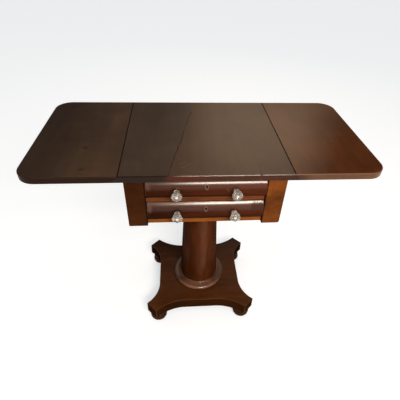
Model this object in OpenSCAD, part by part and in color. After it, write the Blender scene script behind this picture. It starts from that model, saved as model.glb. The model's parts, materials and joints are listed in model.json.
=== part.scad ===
// Drop-leaf work table: a two-drawer case on a turned column and a platform with four bun feet.
// Z is up and the front is -Y. The origin is on the floor under the middle of the top.
// The model stands with both leaves raised and both drawers shut.

/* [Top] */
// Height of the table
table_h = 740; // [700:1:790]
// Width of the fixed top between the joint lines
top_w = 457; // [452:1:500]
// Depth of the top and the leaves
top_d = 457; // [440:1:500]
// Thickness of the top and the leaves
top_t = 19; // [18.5:0.1:22]
// Width of one leaf beyond the joint line
leaf_w = 254.5; // [220:0.5:290]
// Radius of a leaf's outer corners
leaf_corner_r = 50; // [10:1:60]
// Place of the left seam, from the top's middle
left_seam_x = -103; // [-115:1:-80]
// Place of the right seam, from the top's middle
right_seam_x = 137; // [125:1:150]

/* [Rule joint] */
// Depth of the small step at the joint line
rule_step = 4.5; // [4:0.1:5]
// Radius of the joint's round
rule_r = 11; // [10.6:0.1:11.3]
// Clearance between the round and the hollow
rule_gap = 0.3; // [0.2:0.05:0.5]
// Distance of a hinge from the middle of the edge
hinge_y = 140; // [120:1:160]
// Length of a hinge along the edge
hinge_len = 38; // [30:1:45]
// Radius of a hinge's knuckle
knuckle_r = 2.8; // [2.5:0.05:2.9]
// Radius of a hinge's pin
hinge_pin_r = 1.2; // [1:0.05:1.4]
// Thickness of a hinge's flaps
flap_t = 1.6; // [1.2:0.1:1.8]
// Reach of the short flap under the top
short_flap = 30; // [28:1:34]
// Reach of the long flap under the leaf
long_flap = 46; // [42:1:60]
// Length of a hinge screw
hinge_screw_len = 12.5; // [10:0.5:13]

/* [Case] */
// Width of the case over the pilasters
case_w = 443.4; // [430:0.2:446]
// Depth of the case over the pilasters
case_d = 399; // [370:1:420]
// Width of a pilaster
pilaster_w = 54; // [48:1:60]
// Depth of a pilaster
pilaster_d = 36; // [30:1:40]
// How far a pilaster stands proud of the rails
pilaster_proud = 8.5; // [5:0.5:12]
// How far a pilaster reaches below the bottom rail
pilaster_drop = 3.2; // [1:0.2:6]
// Thickness of the side boards
side_t = 16; // [15:0.5:17]
// Thickness of the back panel
back_t = 12; // [10:0.5:14]
// Width of a rear post
post_w = 40; // [36:1:50]
// Depth of the front rails
rail_d = 28; // [24:1:34]
// Height of the top rail
top_rail_h = 18; // [15:0.5:22]
// Height of the middle rail
middle_rail_h = 13.6; // [12:0.2:18]
// Height of the bottom rail
bottom_rail_h = 14.2; // [12:0.2:20]
// Reach of a runner in from the pilaster's edge
runner_reach = 40; // [30:1:60]
// Width of a drawer guide
guide_w = 16; // [12:1:24]
// Height of a drawer guide
guide_h = 18; // [12:1:24]

/* [Drawers] */
// Height of the upper drawer's opening
upper_opening_h = 61.6; // [58:0.2:70]
// Height of the lower drawer's opening
lower_opening_h = 65.6; // [60:0.2:75]
// Gap round a drawer front
drawer_gap = 0.8; // [0.5:0.1:1.2]
// How far a drawer front swells beyond the rails
front_swell = 14; // [8:0.5:18]
// Thickness of a drawer front at its edges
front_t = 20; // [18:0.5:24]
// Length of a drawer from its edge to its back
drawer_len = 350; // [320:1:360]
// Thickness of a drawer's sides
drawer_side_t = 10; // [8:0.5:12]
// Thickness of a drawer's bottom
drawer_bottom_t = 6; // [5:0.5:8]
// Height of a drawer's bottom above its lower edge
drawer_bottom_lift = 8; // [6:0.5:12]
// Height by which a drawer's box stays below its front's top edge
drawer_box_drop = 4; // [3:0.5:8]
// Distance that a drawer slides out
drawer_travel = 300; // [200:5:300]
// Distance of a knob from the drawer's middle
knob_x = 82; // [60:1:100]
// Height of the knobs against the drawer's middle
knob_rise = -2; // [-5:0.5:5]
// Diameter of a knob's head
knob_d = 31; // [26:0.5:36]
// Reach of a knob in front of the swelled front
knob_reach = 25; // [20:0.5:30]
// Thickness of a knob's head
knob_head_t = 10; // [8:0.5:12]
// Diameter of a knob's foot
knob_foot_d = 17; // [14:0.5:20]
// Diameter of a knob's bolt
bolt_d = 5; // [4:0.5:6]
// Height of the keyhole above the drawer's middle
keyhole_rise = 14.5; // [8:0.5:16]
// Diameter of the keyhole's round
keyhole_d = 6.4; // [5:0.2:8]
// Width of the keyhole's slot
keyhole_slot = 2.8; // [2:0.2:4]
// Thickness of the keyhole's rim
keyhole_rim = 1.3; // [1:0.1:2]

/* [Fly brackets] */
// Length of a fly bracket from its pin
bracket_len = 165; // [130:1:170]
// Height of a fly bracket
bracket_h = 38; // [30:1:45]
// Place of the bracket's pin, back from the middle
bracket_pin_y = 20; // [10:1:60]
// Radius of the bracket's pin
bracket_pin_r = 3; // [2.5:0.1:3.5]
// Gap round a fly bracket
bracket_gap = 0.5; // [0.4:0.1:0.8]

/* [Column] */
// Radius of the column under the case
column_top_r = 54.5; // [50:0.5:60]
// Radius of the column at its foot
column_foot_r = 74; // [66:0.5:80]
// Outer radius of the ring under the column
ring_r = 102; // [96:0.5:110]
// Height of the ring's main round
ring_h = 15; // [13:0.5:18]
// Height of the ring's small upper round
bead_h = 5.5; // [4:0.5:8]
// Radius of the column's tenon
tenon_r = 22; // [18:0.5:26]
// Depth of the tenon in the platform
tenon_depth = 34; // [25:1:40]

/* [Platform] */
// Thickness of the platform
platform_t = 48; // [42:1:55]
// Width of the platform over its corners
platform_w = 414; // [400:1:430]
// Depth of the platform over its corners
platform_d = 376; // [360:1:400]
// Cut of the platform's corners along each side
corner_cut = 36; // [30:1:44]
// Hollow of the left and right sides
side_hollow = 46; // [40:1:50]
// Hollow of the front and back
front_hollow = 42; // [36:1:46]
// Half length of the straight stretch in each hollow
hollow_flat = 60; // [50:1:70]

/* [Feet] */
// Height of a foot
foot_h = 44.4; // [38:0.2:52]
// Largest radius of a foot
foot_r = 32; // [28:0.5:35]
// Inset of a foot's middle from the platform's corner
foot_inset = 42; // [38:1:46]
// Radius of a foot's turned pin
foot_pin_r = 10; // [8:0.5:12]
// Length of a foot's turned pin
foot_pin_len = 26; // [20:1:34]

/* [Hidden] */
$fn = 96;
fit = 0.05;       // clearance of pins, bolts and screws in their bores
slide_gap = 0.3;  // clearance between pieces that slide or swing past each other
countersink = 1.2;

dark_wood = "#4a2412";
case_wood = "#7a4020";
front_wood = "#4a1a08";
inner_wood = "#9a6a40";
base_wood = "#3a1e10";

// Heights from the floor up
case_top = table_h - top_t;
upper_top = case_top - top_rail_h;
upper_bottom = upper_top - upper_opening_h;
lower_top = upper_bottom - middle_rail_h;
lower_bottom = lower_top - lower_opening_h;
case_bottom = lower_bottom - bottom_rail_h;
platform_top = foot_h + platform_t;
ring_top = platform_top + ring_h + bead_h;

// The case in plan
half_case = case_w / 2;
half_open = half_case - pilaster_w;
face_y = -case_d / 2;
rail_y = face_y + pilaster_proud;
pilaster_back_y = face_y + pilaster_d;
post_front_y = case_d / 2 - pilaster_d;
half_drawer = half_open - 1;
side_in = half_case - side_t;
back_in_y = case_d / 2 - back_t;
drawer_back_y = rail_y + drawer_len;

// The rule joint in section: x runs out from the joint line, z up from the underside
pin_z = top_t - rule_step - rule_r;
joint_x = top_w / 2;
hollow_r = rule_r + rule_gap;
groove = knuckle_r + 0.7;
flap_start = knuckle_r + 1;
half_hinge = hinge_len / 2;
knuckle_len = (hinge_len - 4 * slide_gap) / 5;
screw_r = 1.9;
pilot_spare = 0.5;

module mirror_x(side) { if (side < 0) mirror([1, 0, 0]) children(); else children(); }

// Runs a section in x and z along the depth of the top
module along_y(len) { translate([0, len / 2, 0]) rotate([90, 0, 0]) linear_extrude(len) children(); }

module top_edge_2d() {
  translate([-joint_x - 1, 0]) square([joint_x + 1, top_t]);
  intersection() {
    translate([0, pin_z]) circle(rule_r);
    translate([-1, 0]) square([rule_r + 2, top_t]);
  }
}

module leaf_2d() {
  difference() {
    translate([rule_gap, 0]) square([leaf_w - rule_gap, top_t]);
    translate([0, pin_z]) circle(hollow_r);
    square([hollow_r, pin_z]);
  }
}

// One screw, head down, with its point up
module wood_screw(len, r, head_r) {
  cylinder(h = len, r = r);
  cylinder(h = head_r - r, r1 = head_r, r2 = r);
}

function flap_screws(reach) = [for (y = [-1, 0, 1]) [flap_start + reach * (y == 0 ? 0.72 : 0.42), y * (half_hinge - 7)]];

module at_hinges() { for (s = [-1, 1]) translate([joint_x, s * hinge_y, case_top]) children(); }

// Room cut in the top for the knuckles and the short flaps
module top_hinge_cuts() {
  at_hinges() {
    translate([-groove - 0.5, -half_hinge - slide_gap, -1]) cube([groove + 0.5 + rule_r + 1, hinge_len + 2 * slide_gap, pin_z + groove + 1]);
    translate([-flap_start - short_flap, -half_hinge, -1]) cube([short_flap + 1, hinge_len, flap_t + 1]);
    for (p = flap_screws(short_flap - 8)) translate([-p[0] - 2, p[1], 0]) cylinder(h = hinge_screw_len + pilot_spare, r = screw_r + fit);
  }
}

module top_board(x1, x2) {
  difference() {
    intersection() {
      union() for (s = [-1, 1]) mirror_x(s) translate([joint_x, 0, case_top]) along_y(top_d) top_edge_2d();
      translate([x1, -top_d, case_top - 1]) cube([x2 - x1, 2 * top_d, top_t + 2]);
    }
    for (s = [-1, 1]) mirror_x(s) top_hinge_cuts();
    for (p = top_screw_places()) translate([p[0], p[1], case_top - 1]) cylinder(h = 1 + top_screw_bite, r = top_screw_r + fit);
  }
}

module top_left_board() { color(dark_wood) top_board(-joint_x - rule_r - 1, left_seam_x); }
module top_middle_board() { color(dark_wood) top_board(left_seam_x, right_seam_x); }
module top_right_board() { color(dark_wood) top_board(right_seam_x, joint_x + rule_r + 1); }

module leaf(side) {
  mirror_x(side) difference() {
    intersection() {
      translate([joint_x, 0, case_top]) along_y(top_d) leaf_2d();
      translate([0, 0, case_top - 1]) linear_extrude(top_t + 2) {
        translate([joint_x - 1, -top_d / 2]) square([leaf_w + 1 - leaf_corner_r, top_d]);
        translate([joint_x - 1, -top_d / 2 + leaf_corner_r]) square([leaf_w + 1, top_d - 2 * leaf_corner_r]);
        for (s = [-1, 1]) translate([joint_x + leaf_w - leaf_corner_r, s * (top_d / 2 - leaf_corner_r)]) circle(leaf_corner_r);
      }
    }
    at_hinges() {
      translate([0, -half_hinge, -1]) cube([flap_start + long_flap, hinge_len, flap_t + 1]);
      for (p = flap_screws(long_flap - 6)) translate([p[0] + 2, p[1], 0]) cylinder(h = hinge_screw_len + pilot_spare, r = screw_r + fit);
    }
  }
}

module left_leaf() { color("#3a2a1e") leaf(-1); }
module right_leaf() { color("#6a4028") leaf(1); }

// A flap with its knuckles: turn is 1 for the leaf's flap and -1 for the top's flap
module flap(reach, places, turn) {
  difference() {
    union() {
      translate([turn > 0 ? flap_start : -flap_start - reach, -half_hinge, 0]) cube([reach, hinge_len, flap_t]);
      for (n = places) translate([0, -half_hinge + n * (knuckle_len + slide_gap), 0]) {
        translate([0, knuckle_len, pin_z]) rotate([90, 0, 0]) cylinder(h = knuckle_len, r = knuckle_r);
        translate([turn > 0 ? 0 : -flap_start - 1, 0, pin_z - knuckle_r]) cube([flap_start + 1, knuckle_len, flap_t + knuckle_r - pin_z]);
      }
    }
    translate([0, half_hinge + 1, pin_z]) rotate([90, 0, 0]) cylinder(h = hinge_len + 2, r = hinge_pin_r + (turn > 0 ? fit : 0));
    for (p = flap_screws(reach - (turn > 0 ? 6 : 8))) translate([turn * (p[0] + 2), p[1], -0.01]) {
      cylinder(h = flap_t + 1, r = screw_r + fit);
      translate([0, 0, -fit]) cylinder(h = countersink + 2 * fit, r1 = screw_r + countersink + 2 * fit, r2 = screw_r);
    }
  }
}

module hinge_top_flaps() { color("#5c5650") for (s = [-1, 1]) mirror_x(s) at_hinges() flap(short_flap, [0, 2, 4], -1); }
module left_hinge_leaf_flaps() { color("#5c5650") mirror_x(-1) at_hinges() flap(long_flap, [1, 3], 1); }
module right_hinge_leaf_flaps() { color("#5c5650") at_hinges() flap(long_flap, [1, 3], 1); }

module hinge_pins() {
  color("#6c665e") for (s = [-1, 1]) mirror_x(s) at_hinges()
    translate([0, half_hinge, pin_z]) rotate([90, 0, 0]) cylinder(h = hinge_len, r = hinge_pin_r);
}

module hinge_top_screws() {
  color("#6c665e") for (s = [-1, 1]) mirror_x(s) at_hinges()
    for (p = flap_screws(short_flap - 8)) translate([-p[0] - 2, p[1], 0]) wood_screw(hinge_screw_len, screw_r, screw_r + countersink);
}

module leaf_screws(side) {
  color("#6c665e") mirror_x(side) at_hinges()
    for (p = flap_screws(long_flap - 6)) translate([p[0] + 2, p[1], 0]) wood_screw(hinge_screw_len, screw_r, screw_r + countersink);
}
module left_leaf_screws() { leaf_screws(-1); }
module right_leaf_screws() { leaf_screws(1); }

// Screws up through the kickers into the top, three on each side
top_screw_r = 2.2;
top_screw_bite = 11;
top_screw_inset = 30;
kicker_in = half_open - runner_reach;
function top_screw_places() = [for (s = [-1, 1]) for (y = [-1, 0, 1]) [s * (kicker_in + runner_reach / 2), y * (case_d / 2 - pilaster_d - top_screw_inset)]];

module top_screws() {
  color("#6c665e") for (p = top_screw_places()) translate([p[0], p[1], upper_top])
    wood_screw(top_rail_h + top_screw_bite - pilot_spare, top_screw_r, top_screw_r + 2);
}

module pilaster(side) {
  mirror_x(side) translate([half_open, face_y, case_bottom - pilaster_drop])
    cube([pilaster_w, pilaster_d, case_top - case_bottom + pilaster_drop]);
}
module left_pilaster() { color("#5c2a12") pilaster(-1); }
module right_pilaster() { color("#8b4a1a") pilaster(1); }

module back_post(side) {
  mirror_x(side) translate([half_case - post_w, post_front_y, case_bottom])
    cube([post_w, pilaster_d, case_top - case_bottom]);
}
module back_left_post() { color(case_wood) back_post(-1); }
module back_right_post() { color(case_wood) back_post(1); }

bracket_x = half_case - side_t / 2;
bracket_half = side_t / 2 - slide_gap;
bracket_top = case_top - bracket_gap;
bracket_bottom = bracket_top - bracket_h;

module case_side(side) {
  mirror_x(side) difference() {
    translate([side_in, pilaster_back_y, case_bottom]) cube([side_t, post_front_y - pilaster_back_y, case_top - case_bottom]);
    translate([side_in - 1, bracket_pin_y - bracket_len - bracket_gap, bracket_bottom - bracket_gap])
      cube([side_t + 2, bracket_len + side_t / 2 + 2 * bracket_gap, case_top]);
    translate([bracket_x, bracket_pin_y, bracket_bottom - bracket_gap - bracket_pin_bite]) cylinder(h = bracket_pin_bite + 1, r = bracket_pin_r);
  }
}
module left_side() { color(case_wood) case_side(-1); }
module right_side() { color(case_wood) case_side(1); }

bracket_pin_bite = 24;
module fly_bracket(side) {
  mirror_x(side) difference() {
    translate([bracket_x, bracket_pin_y, bracket_bottom]) {
      cylinder(h = bracket_h, r = bracket_half);
      translate([-bracket_half, -bracket_len + bracket_gap, 0]) cube([2 * bracket_half, bracket_len - bracket_gap, bracket_h]);
    }
    // finger grip cut in the outer face at the free end
    translate([bracket_x + bracket_half, bracket_pin_y - bracket_len + 14, bracket_bottom - 1]) cylinder(h = bracket_h + 2, r = 9);
    translate([bracket_x, bracket_pin_y, bracket_bottom - 1]) cylinder(h = bracket_h + 2, r = bracket_pin_r + fit);
  }
}
module left_fly_bracket() { color(inner_wood) fly_bracket(-1); }
module right_fly_bracket() { color(inner_wood) fly_bracket(1); }

module bracket_pins() {
  color("#6c665e") for (s = [-1, 1]) mirror_x(s)
    translate([bracket_x, bracket_pin_y, bracket_bottom - bracket_gap - bracket_pin_bite])
      cylinder(h = bracket_pin_bite + bracket_h + 2 * bracket_gap, r = bracket_pin_r);
}

module back_panel() {
  color(case_wood) translate([-half_case + post_w, back_in_y, case_bottom]) cube([case_w - 2 * post_w, back_t, case_top - case_bottom]);
}

module rail(z1, z2) { translate([-half_open, rail_y, z1]) cube([2 * half_open, rail_d, z2 - z1]); }

// A mortise over each lock takes its bolt
lock_bolt_w = 12;
lock_bolt_t = 4;
lock_bolt_y = rail_y + front_t - 6;
module bolt_mortise(z) { translate([-lock_bolt_w / 2 - 0.5, lock_bolt_y - lock_bolt_t / 2 - 0.5, z - 1]) cube([lock_bolt_w + 1, lock_bolt_t + 1, 9]); }

module top_rail() { color(case_wood) difference() { rail(upper_top, case_top); bolt_mortise(upper_top); } }
module middle_rail() { color("#7a4020") difference() { rail(lower_top, upper_bottom); bolt_mortise(lower_top); } }
module bottom_rail() { color("#8a5020") rail(case_bottom, lower_bottom); }

column_screw_r = 3;
column_screw_ring = 36;
column_screw_bite = 40;
module at_column_screws() { for (a = [45:90:315]) rotate(a) translate([column_screw_ring, 0, 0]) children(); }

module bottom_board() {
  color(inner_wood) difference() {
    union() {
      translate([-half_open, rail_y + rail_d, case_bottom]) cube([2 * half_open, back_in_y - rail_y - rail_d, bottom_rail_h]);
      for (s = [-1, 1]) mirror_x(s) translate([half_open, pilaster_back_y, case_bottom]) cube([side_in - half_open, post_front_y - pilaster_back_y, bottom_rail_h]);
    }
    for (s = [-1, 1]) mirror_x(s) translate([half_case - post_w, post_front_y, case_bottom - 1]) cube([post_w, pilaster_d, bottom_rail_h + 2]);
    at_column_screws() translate([0, 0, case_bottom]) {
      translate([0, 0, -1]) cylinder(h = bottom_rail_h + 2, r = column_screw_r + fit);
      translate([0, 0, bottom_rail_h - 3]) cylinder(h = 3 + fit, r1 = column_screw_r, r2 = column_screw_r + 3 + fit);
    }
  }
}

module column_screws() {
  color("#6c665e") at_column_screws() {
    translate([0, 0, case_bottom - column_screw_bite]) cylinder(h = column_screw_bite + bottom_rail_h, r = column_screw_r);
    translate([0, 0, lower_bottom - 3]) cylinder(h = 3, r1 = column_screw_r, r2 = column_screw_r + 3);
  }
}

module runners() {
  color(inner_wood) for (s = [-1, 1]) mirror_x(s) {
    translate([kicker_in, rail_y + rail_d, lower_top]) cube([half_open - kicker_in, back_in_y - rail_y - rail_d, middle_rail_h]);
    translate([half_open, pilaster_back_y, lower_top]) cube([side_in - half_open, post_front_y - pilaster_back_y, middle_rail_h]);
  }
}

module kickers() {
  color(inner_wood) difference() {
    for (s = [-1, 1]) mirror_x(s) {
      translate([kicker_in, rail_y + rail_d, upper_top]) cube([half_open - kicker_in, back_in_y - rail_y - rail_d, top_rail_h]);
      translate([half_open, pilaster_back_y, upper_top]) cube([side_in - half_open, post_front_y - pilaster_back_y, top_rail_h]);
    }
    for (p = top_screw_places()) translate([p[0], p[1], upper_top - 1]) cylinder(h = top_rail_h + 2, r = top_screw_r + fit);
    for (p = top_screw_places()) translate([p[0], p[1], upper_top - fit]) cylinder(h = 2 + 2 * fit, r1 = top_screw_r + 2 + 2 * fit, r2 = top_screw_r);
  }
}

module guides(z) {
  color(inner_wood) for (s = [-1, 1]) mirror_x(s)
    translate([half_open, pilaster_back_y, z]) cube([guide_w, post_front_y - pilaster_back_y, guide_h]);
}
module upper_guides() { guides(upper_bottom); }
module lower_guides() { guides(lower_bottom); }

// Small blocks on the runners and the bottom board, just behind each drawer's back
module drawer_stops() {
  color(inner_wood) for (z = [upper_bottom, lower_bottom]) for (s = [-1, 1]) mirror_x(s)
    translate([half_open - 34, drawer_back_y + slide_gap, z]) cube([20, back_in_y - drawer_back_y - slide_gap, 12]);
}

// Each drawer is drawn from the floor of its opening up
function swell_r(h) = (pow(h / 2, 2) + pow(front_swell, 2)) / (2 * front_swell);

module swell_2d(h, grow) {
  intersection() {
    translate([front_swell - swell_r(h), 0]) circle(swell_r(h) + grow, $fn = 192);
    translate([0, -h / 2]) square([front_swell + 5, h]);
  }
}

// Runs a section across the drawer: its x goes to the front and its y up
module across(w) { translate([-w / 2, 0, 0]) rotate([90, 0, 90]) linear_extrude(w) mirror([1, 0]) children(); }

// The rim is this much broader beside the slot than round the top, and its seat goes this far behind the crest
rim_skirt = 1;
rim_deep = 9;
slot_drop = keyhole_d * 1.35;

module round_and_slot_2d(d, w, drop) {
  circle(d = d, $fn = 48);
  translate([-w / 2, -drop]) square([w, drop]);
}
module keyhole(y1, y2) {
  translate([0, y2, 0]) rotate([90, 0, 0]) linear_extrude(y2 - y1) round_and_slot_2d(keyhole_d, keyhole_slot, slot_drop);
}
module rim(y1, y2) {
  translate([0, y2, 0]) rotate([90, 0, 0]) linear_extrude(y2 - y1)
    round_and_slot_2d(keyhole_d + 2 * keyhole_rim, keyhole_slot + 2 * (keyhole_rim + rim_skirt), slot_drop + keyhole_rim);
}

knob_foot_r = knob_foot_d / 2;
knob_seat = 1;
lock_w = 60;
lock_t = 9;
tail_deep = 13;

// The tails of one side, as a section in y and z that enters the front
module tails_2d(h) {
  pitch = h / 3;
  for (n = [0:2]) polygon([[0, (n + 0.5) * pitch - pitch * 0.24], [0, (n + 0.5) * pitch + pitch * 0.24],
    [-tail_deep, (n + 0.5) * pitch + pitch * 0.36], [-tail_deep, (n + 0.5) * pitch - pitch * 0.36]]);
}

module drawer_front(h) {
  fh = h - 2 * drawer_gap;
  bh = fh - drawer_box_drop;
  difference() {
    translate([0, rail_y, drawer_gap]) {
      translate([-half_drawer, 0, 0]) cube([2 * half_drawer, front_t, fh]);
      translate([0, 0, fh / 2]) across(2 * half_drawer) swell_2d(fh, 0);
    }
    for (s = [-1, 1]) {
      translate([s * knob_x, rail_y - front_swell + knob_seat, h / 2 + knob_rise]) rotate([90, 0, 0]) cylinder(h = 10, r = knob_foot_r + 0.1);
      translate([s * knob_x, rail_y + front_t + 1, h / 2 + knob_rise]) rotate([90, 0, 0]) cylinder(h = front_t + front_swell + 2, r = bolt_d / 2 + fit);
      mirror_x(s) translate([half_drawer - drawer_side_t, rail_y + front_t, drawer_gap]) rotate([90, 0, 90]) linear_extrude(drawer_side_t + 1) tails_2d(bh);
    }
    translate([0, 0, h / 2 + keyhole_rise]) rim(rail_y - front_swell - 1, rail_y - front_swell + rim_deep);
    translate([0, 0, h / 2 + keyhole_rise]) keyhole(rail_y - front_swell - 1, rail_y + front_t + 1);
    // room for the lock in the back of the front
    translate([-lock_w / 2, rail_y + front_t - lock_t, drawer_gap + fh - lock_h(h)]) cube([lock_w, lock_t + 1, lock_h(h) + 1]);
    // groove for the bottom
    translate([-half_drawer + drawer_side_t / 2, rail_y + front_t - bottom_bite, drawer_gap + drawer_bottom_lift])
      cube([2 * half_drawer - drawer_side_t, bottom_bite + 1, drawer_bottom_t]);
  }
}

bottom_bite = 6;
function lock_h(h) = h * 0.62;
module drawer_side(h, side) {
  bh = h - 2 * drawer_gap - drawer_box_drop;
  mirror_x(side) difference() {
    translate([half_drawer - drawer_side_t, 0, drawer_gap]) {
      translate([0, rail_y + front_t, 0]) cube([drawer_side_t, drawer_len - front_t, bh]);
      translate([0, rail_y + front_t, 0]) rotate([90, 0, 90]) linear_extrude(drawer_side_t) tails_2d(bh);
    }
    translate([half_drawer - drawer_side_t - 1, rail_y + front_t - tail_deep - 1, drawer_gap + drawer_bottom_lift])
      cube([drawer_side_t / 2 + 1, drawer_len, drawer_bottom_t]);
    translate([half_drawer - drawer_side_t - 1, drawer_back_y - drawer_side_t - 4, drawer_gap + drawer_bottom_lift])
      cube([drawer_side_t / 2 + 1, drawer_side_t, bh]);
  }
}

// The back stands on the bottom, housed in both sides
module drawer_back(h) {
  bh = h - 2 * drawer_gap - drawer_box_drop;
  translate([-half_drawer + drawer_side_t / 2, drawer_back_y - drawer_side_t - 4, drawer_gap + drawer_bottom_lift + drawer_bottom_t])
    cube([2 * half_drawer - drawer_side_t, drawer_side_t, bh - drawer_bottom_lift - drawer_bottom_t]);
}

module drawer_bottom() {
  translate([-half_drawer + drawer_side_t / 2, rail_y + front_t - bottom_bite, drawer_gap + drawer_bottom_lift])
    cube([2 * half_drawer - drawer_side_t, drawer_len - front_t + bottom_bite, drawer_bottom_t]);
}

// A pressed-glass knob: a flared foot, a neck that widens like a bell, and a broad head with a bored middle
knob_l = knob_reach + knob_seat;
module knob() {
  rotate([90, 0, 0]) rotate_extrude() difference() {
    polygon([[bolt_d / 2 + fit, 0], [knob_foot_r, 0], [knob_foot_r, 2.5], [knob_foot_r - 1, 4.5], [knob_foot_r + 1.5, knob_l * 0.36],
      [knob_d / 2 - 2.5, knob_l - knob_head_t], [knob_d / 2, knob_l - knob_head_t + 3.5], [knob_d / 2, knob_l - 2.5],
      [knob_d / 2 - 2.5, knob_l], [bolt_d / 2 + fit, knob_l]]);
    translate([0, knob_l - 2]) square([bolt_d / 2 + 1.8, 3]);
  }
}

module knobs(h) {
  color("#c8ccc4") for (s = [-1, 1]) translate([s * knob_x, rail_y - front_swell + knob_seat, h / 2 + knob_rise]) knob();
}

nut_w = 9;
nut_t = 4;
module knob_bolts(h) {
  color("#6c665e") for (s = [-1, 1]) translate([s * knob_x, rail_y + front_t, h / 2 + knob_rise]) rotate([90, 0, 0]) {
    translate([0, 0, -nut_t - 3]) cylinder(h = nut_t + 3 + front_t + front_swell + knob_reach - 2, r = bolt_d / 2);
    translate([0, 0, -nut_t]) cylinder(h = nut_t, d = nut_w, $fn = 6);
    translate([0, 0, front_t + front_swell + knob_reach - 2]) cylinder(h = 1.6, r = bolt_d / 2 + 1.7);
  }
}

module escutcheon(h) {
  fh = h - 2 * drawer_gap;
  color("#b08a40") intersection() {
    difference() {
      translate([0, 0, h / 2 + keyhole_rise]) rim(rail_y - front_swell - 2, rail_y - front_swell + rim_deep);
      translate([0, 0, h / 2 + keyhole_rise]) keyhole(rail_y - front_swell - 3, rail_y - front_swell + rim_deep + 1);
    }
    translate([0, rail_y, drawer_gap + fh / 2]) across(60) swell_2d(fh, 0.3);
  }
}

module lock(h) {
  fh = h - 2 * drawer_gap;
  color("#77684a") difference() {
    translate([-lock_w / 2, rail_y + front_t - lock_t, drawer_gap + fh - lock_h(h)]) cube([lock_w, lock_t, lock_h(h)]);
    translate([0, 0, h / 2 + keyhole_rise]) keyhole(rail_y, rail_y + front_t - 2);
  }
}

module at_upper() { translate([0, 0, upper_bottom]) children(); }
module at_lower() { translate([0, 0, lower_bottom]) children(); }

module upper_drawer_front() { color(front_wood) at_upper() drawer_front(upper_opening_h); }
module upper_drawer_left_side() { color(inner_wood) at_upper() drawer_side(upper_opening_h, -1); }
module upper_drawer_right_side() { color(inner_wood) at_upper() drawer_side(upper_opening_h, 1); }
module upper_drawer_back() { color(inner_wood) at_upper() drawer_back(upper_opening_h); }
module upper_drawer_bottom() { color(inner_wood) at_upper() drawer_bottom(); }
module upper_knobs() { at_upper() knobs(upper_opening_h); }
module upper_knob_bolts() { at_upper() knob_bolts(upper_opening_h); }
module upper_escutcheon() { at_upper() escutcheon(upper_opening_h); }
module upper_lock() { at_upper() lock(upper_opening_h); }
module lower_drawer_front() { color(front_wood) at_lower() drawer_front(lower_opening_h); }
module lower_drawer_left_side() { color(inner_wood) at_lower() drawer_side(lower_opening_h, -1); }
module lower_drawer_right_side() { color(inner_wood) at_lower() drawer_side(lower_opening_h, 1); }
module lower_drawer_back() { color(inner_wood) at_lower() drawer_back(lower_opening_h); }
module lower_drawer_bottom() { color(inner_wood) at_lower() drawer_bottom(); }
module lower_knobs() { at_lower() knobs(lower_opening_h); }
module lower_knob_bolts() { at_lower() knob_bolts(lower_opening_h); }
module lower_escutcheon() { at_lower() escutcheon(lower_opening_h); }
module lower_lock() { at_lower() lock(lower_opening_h); }

module column() {
  color("#5c2a14") difference() {
    union() {
      translate([0, 0, ring_top]) cylinder(h = case_bottom - ring_top, r1 = column_foot_r, r2 = column_top_r, $fn = 192);
      translate([0, 0, platform_top - tenon_depth]) cylinder(h = ring_top - platform_top + tenon_depth + 1, r = tenon_r);
    }
    at_column_screws() translate([0, 0, case_bottom - column_screw_bite - 1]) cylinder(h = column_screw_bite + 2, r = column_screw_r + fit);
  }
}

// The turned ring: a large round at its edge, a slight hollow, and a small round against the column
module column_ring() {
  color("#5a3524") translate([0, 0, platform_top]) rotate_extrude($fn = 192) difference() {
    union() {
      translate([tenon_r + fit, 0]) square([ring_r - ring_h / 2 - tenon_r, ring_h]);
      translate([ring_r - ring_h / 2, ring_h / 2]) circle(ring_h / 2, $fn = 64);
      translate([tenon_r + fit, 0]) square([column_foot_r + 5 - bead_h / 2 - tenon_r - fit, ring_h + bead_h]);
      translate([column_foot_r + 5 - bead_h / 2, ring_h + bead_h / 2]) circle(bead_h / 2, $fn = 48);
    }
    translate([(ring_r + column_foot_r) / 2 + 1, ring_h + 8]) circle(10, $fn = 64);
    square([tenon_r + fit, ring_h + bead_h + 1]);
  }
}

// The platform's plan: canted corners, and four sides hollowed with a straight stretch between two arcs
function hollow_arc(half, deep) = (pow(half - hollow_flat, 2) + pow(deep, 2)) / (2 * deep);

module scoop_2d(edge, half, deep) {
  r = hollow_arc(half, deep);
  translate([edge - deep, -hollow_flat]) square([deep + 10, 2 * hollow_flat]);
  for (s = [-1, 1]) translate([edge - deep + r, s * hollow_flat]) circle(r, $fn = 256);
}

foot_x = platform_w / 2 - foot_inset;
foot_y = platform_d / 2 - foot_inset;
module at_feet() { for (sx = [-1, 1]) for (sy = [-1, 1]) translate([sx * foot_x, sy * foot_y, 0]) children(); }

module platform() {
  hw = platform_w / 2;
  hd = platform_d / 2;
  color(base_wood) difference() {
    translate([0, 0, foot_h]) linear_extrude(platform_t) difference() {
      polygon([[hw, hd - corner_cut], [hw - corner_cut, hd], [corner_cut - hw, hd], [-hw, hd - corner_cut],
        [-hw, corner_cut - hd], [corner_cut - hw, -hd], [hw - corner_cut, -hd], [hw, corner_cut - hd]]);
      for (a = [0, 180]) rotate(a) scoop_2d(hw, hd - corner_cut, side_hollow);
      for (a = [90, 270]) rotate(a) scoop_2d(hd, hw - corner_cut, front_hollow);
    }
    translate([0, 0, platform_top - tenon_depth]) cylinder(h = tenon_depth + 1, r = tenon_r + fit);
    at_feet() translate([0, 0, foot_h - 1]) cylinder(h = foot_pin_len + 1, r = foot_pin_r + fit);
  }
}

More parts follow.
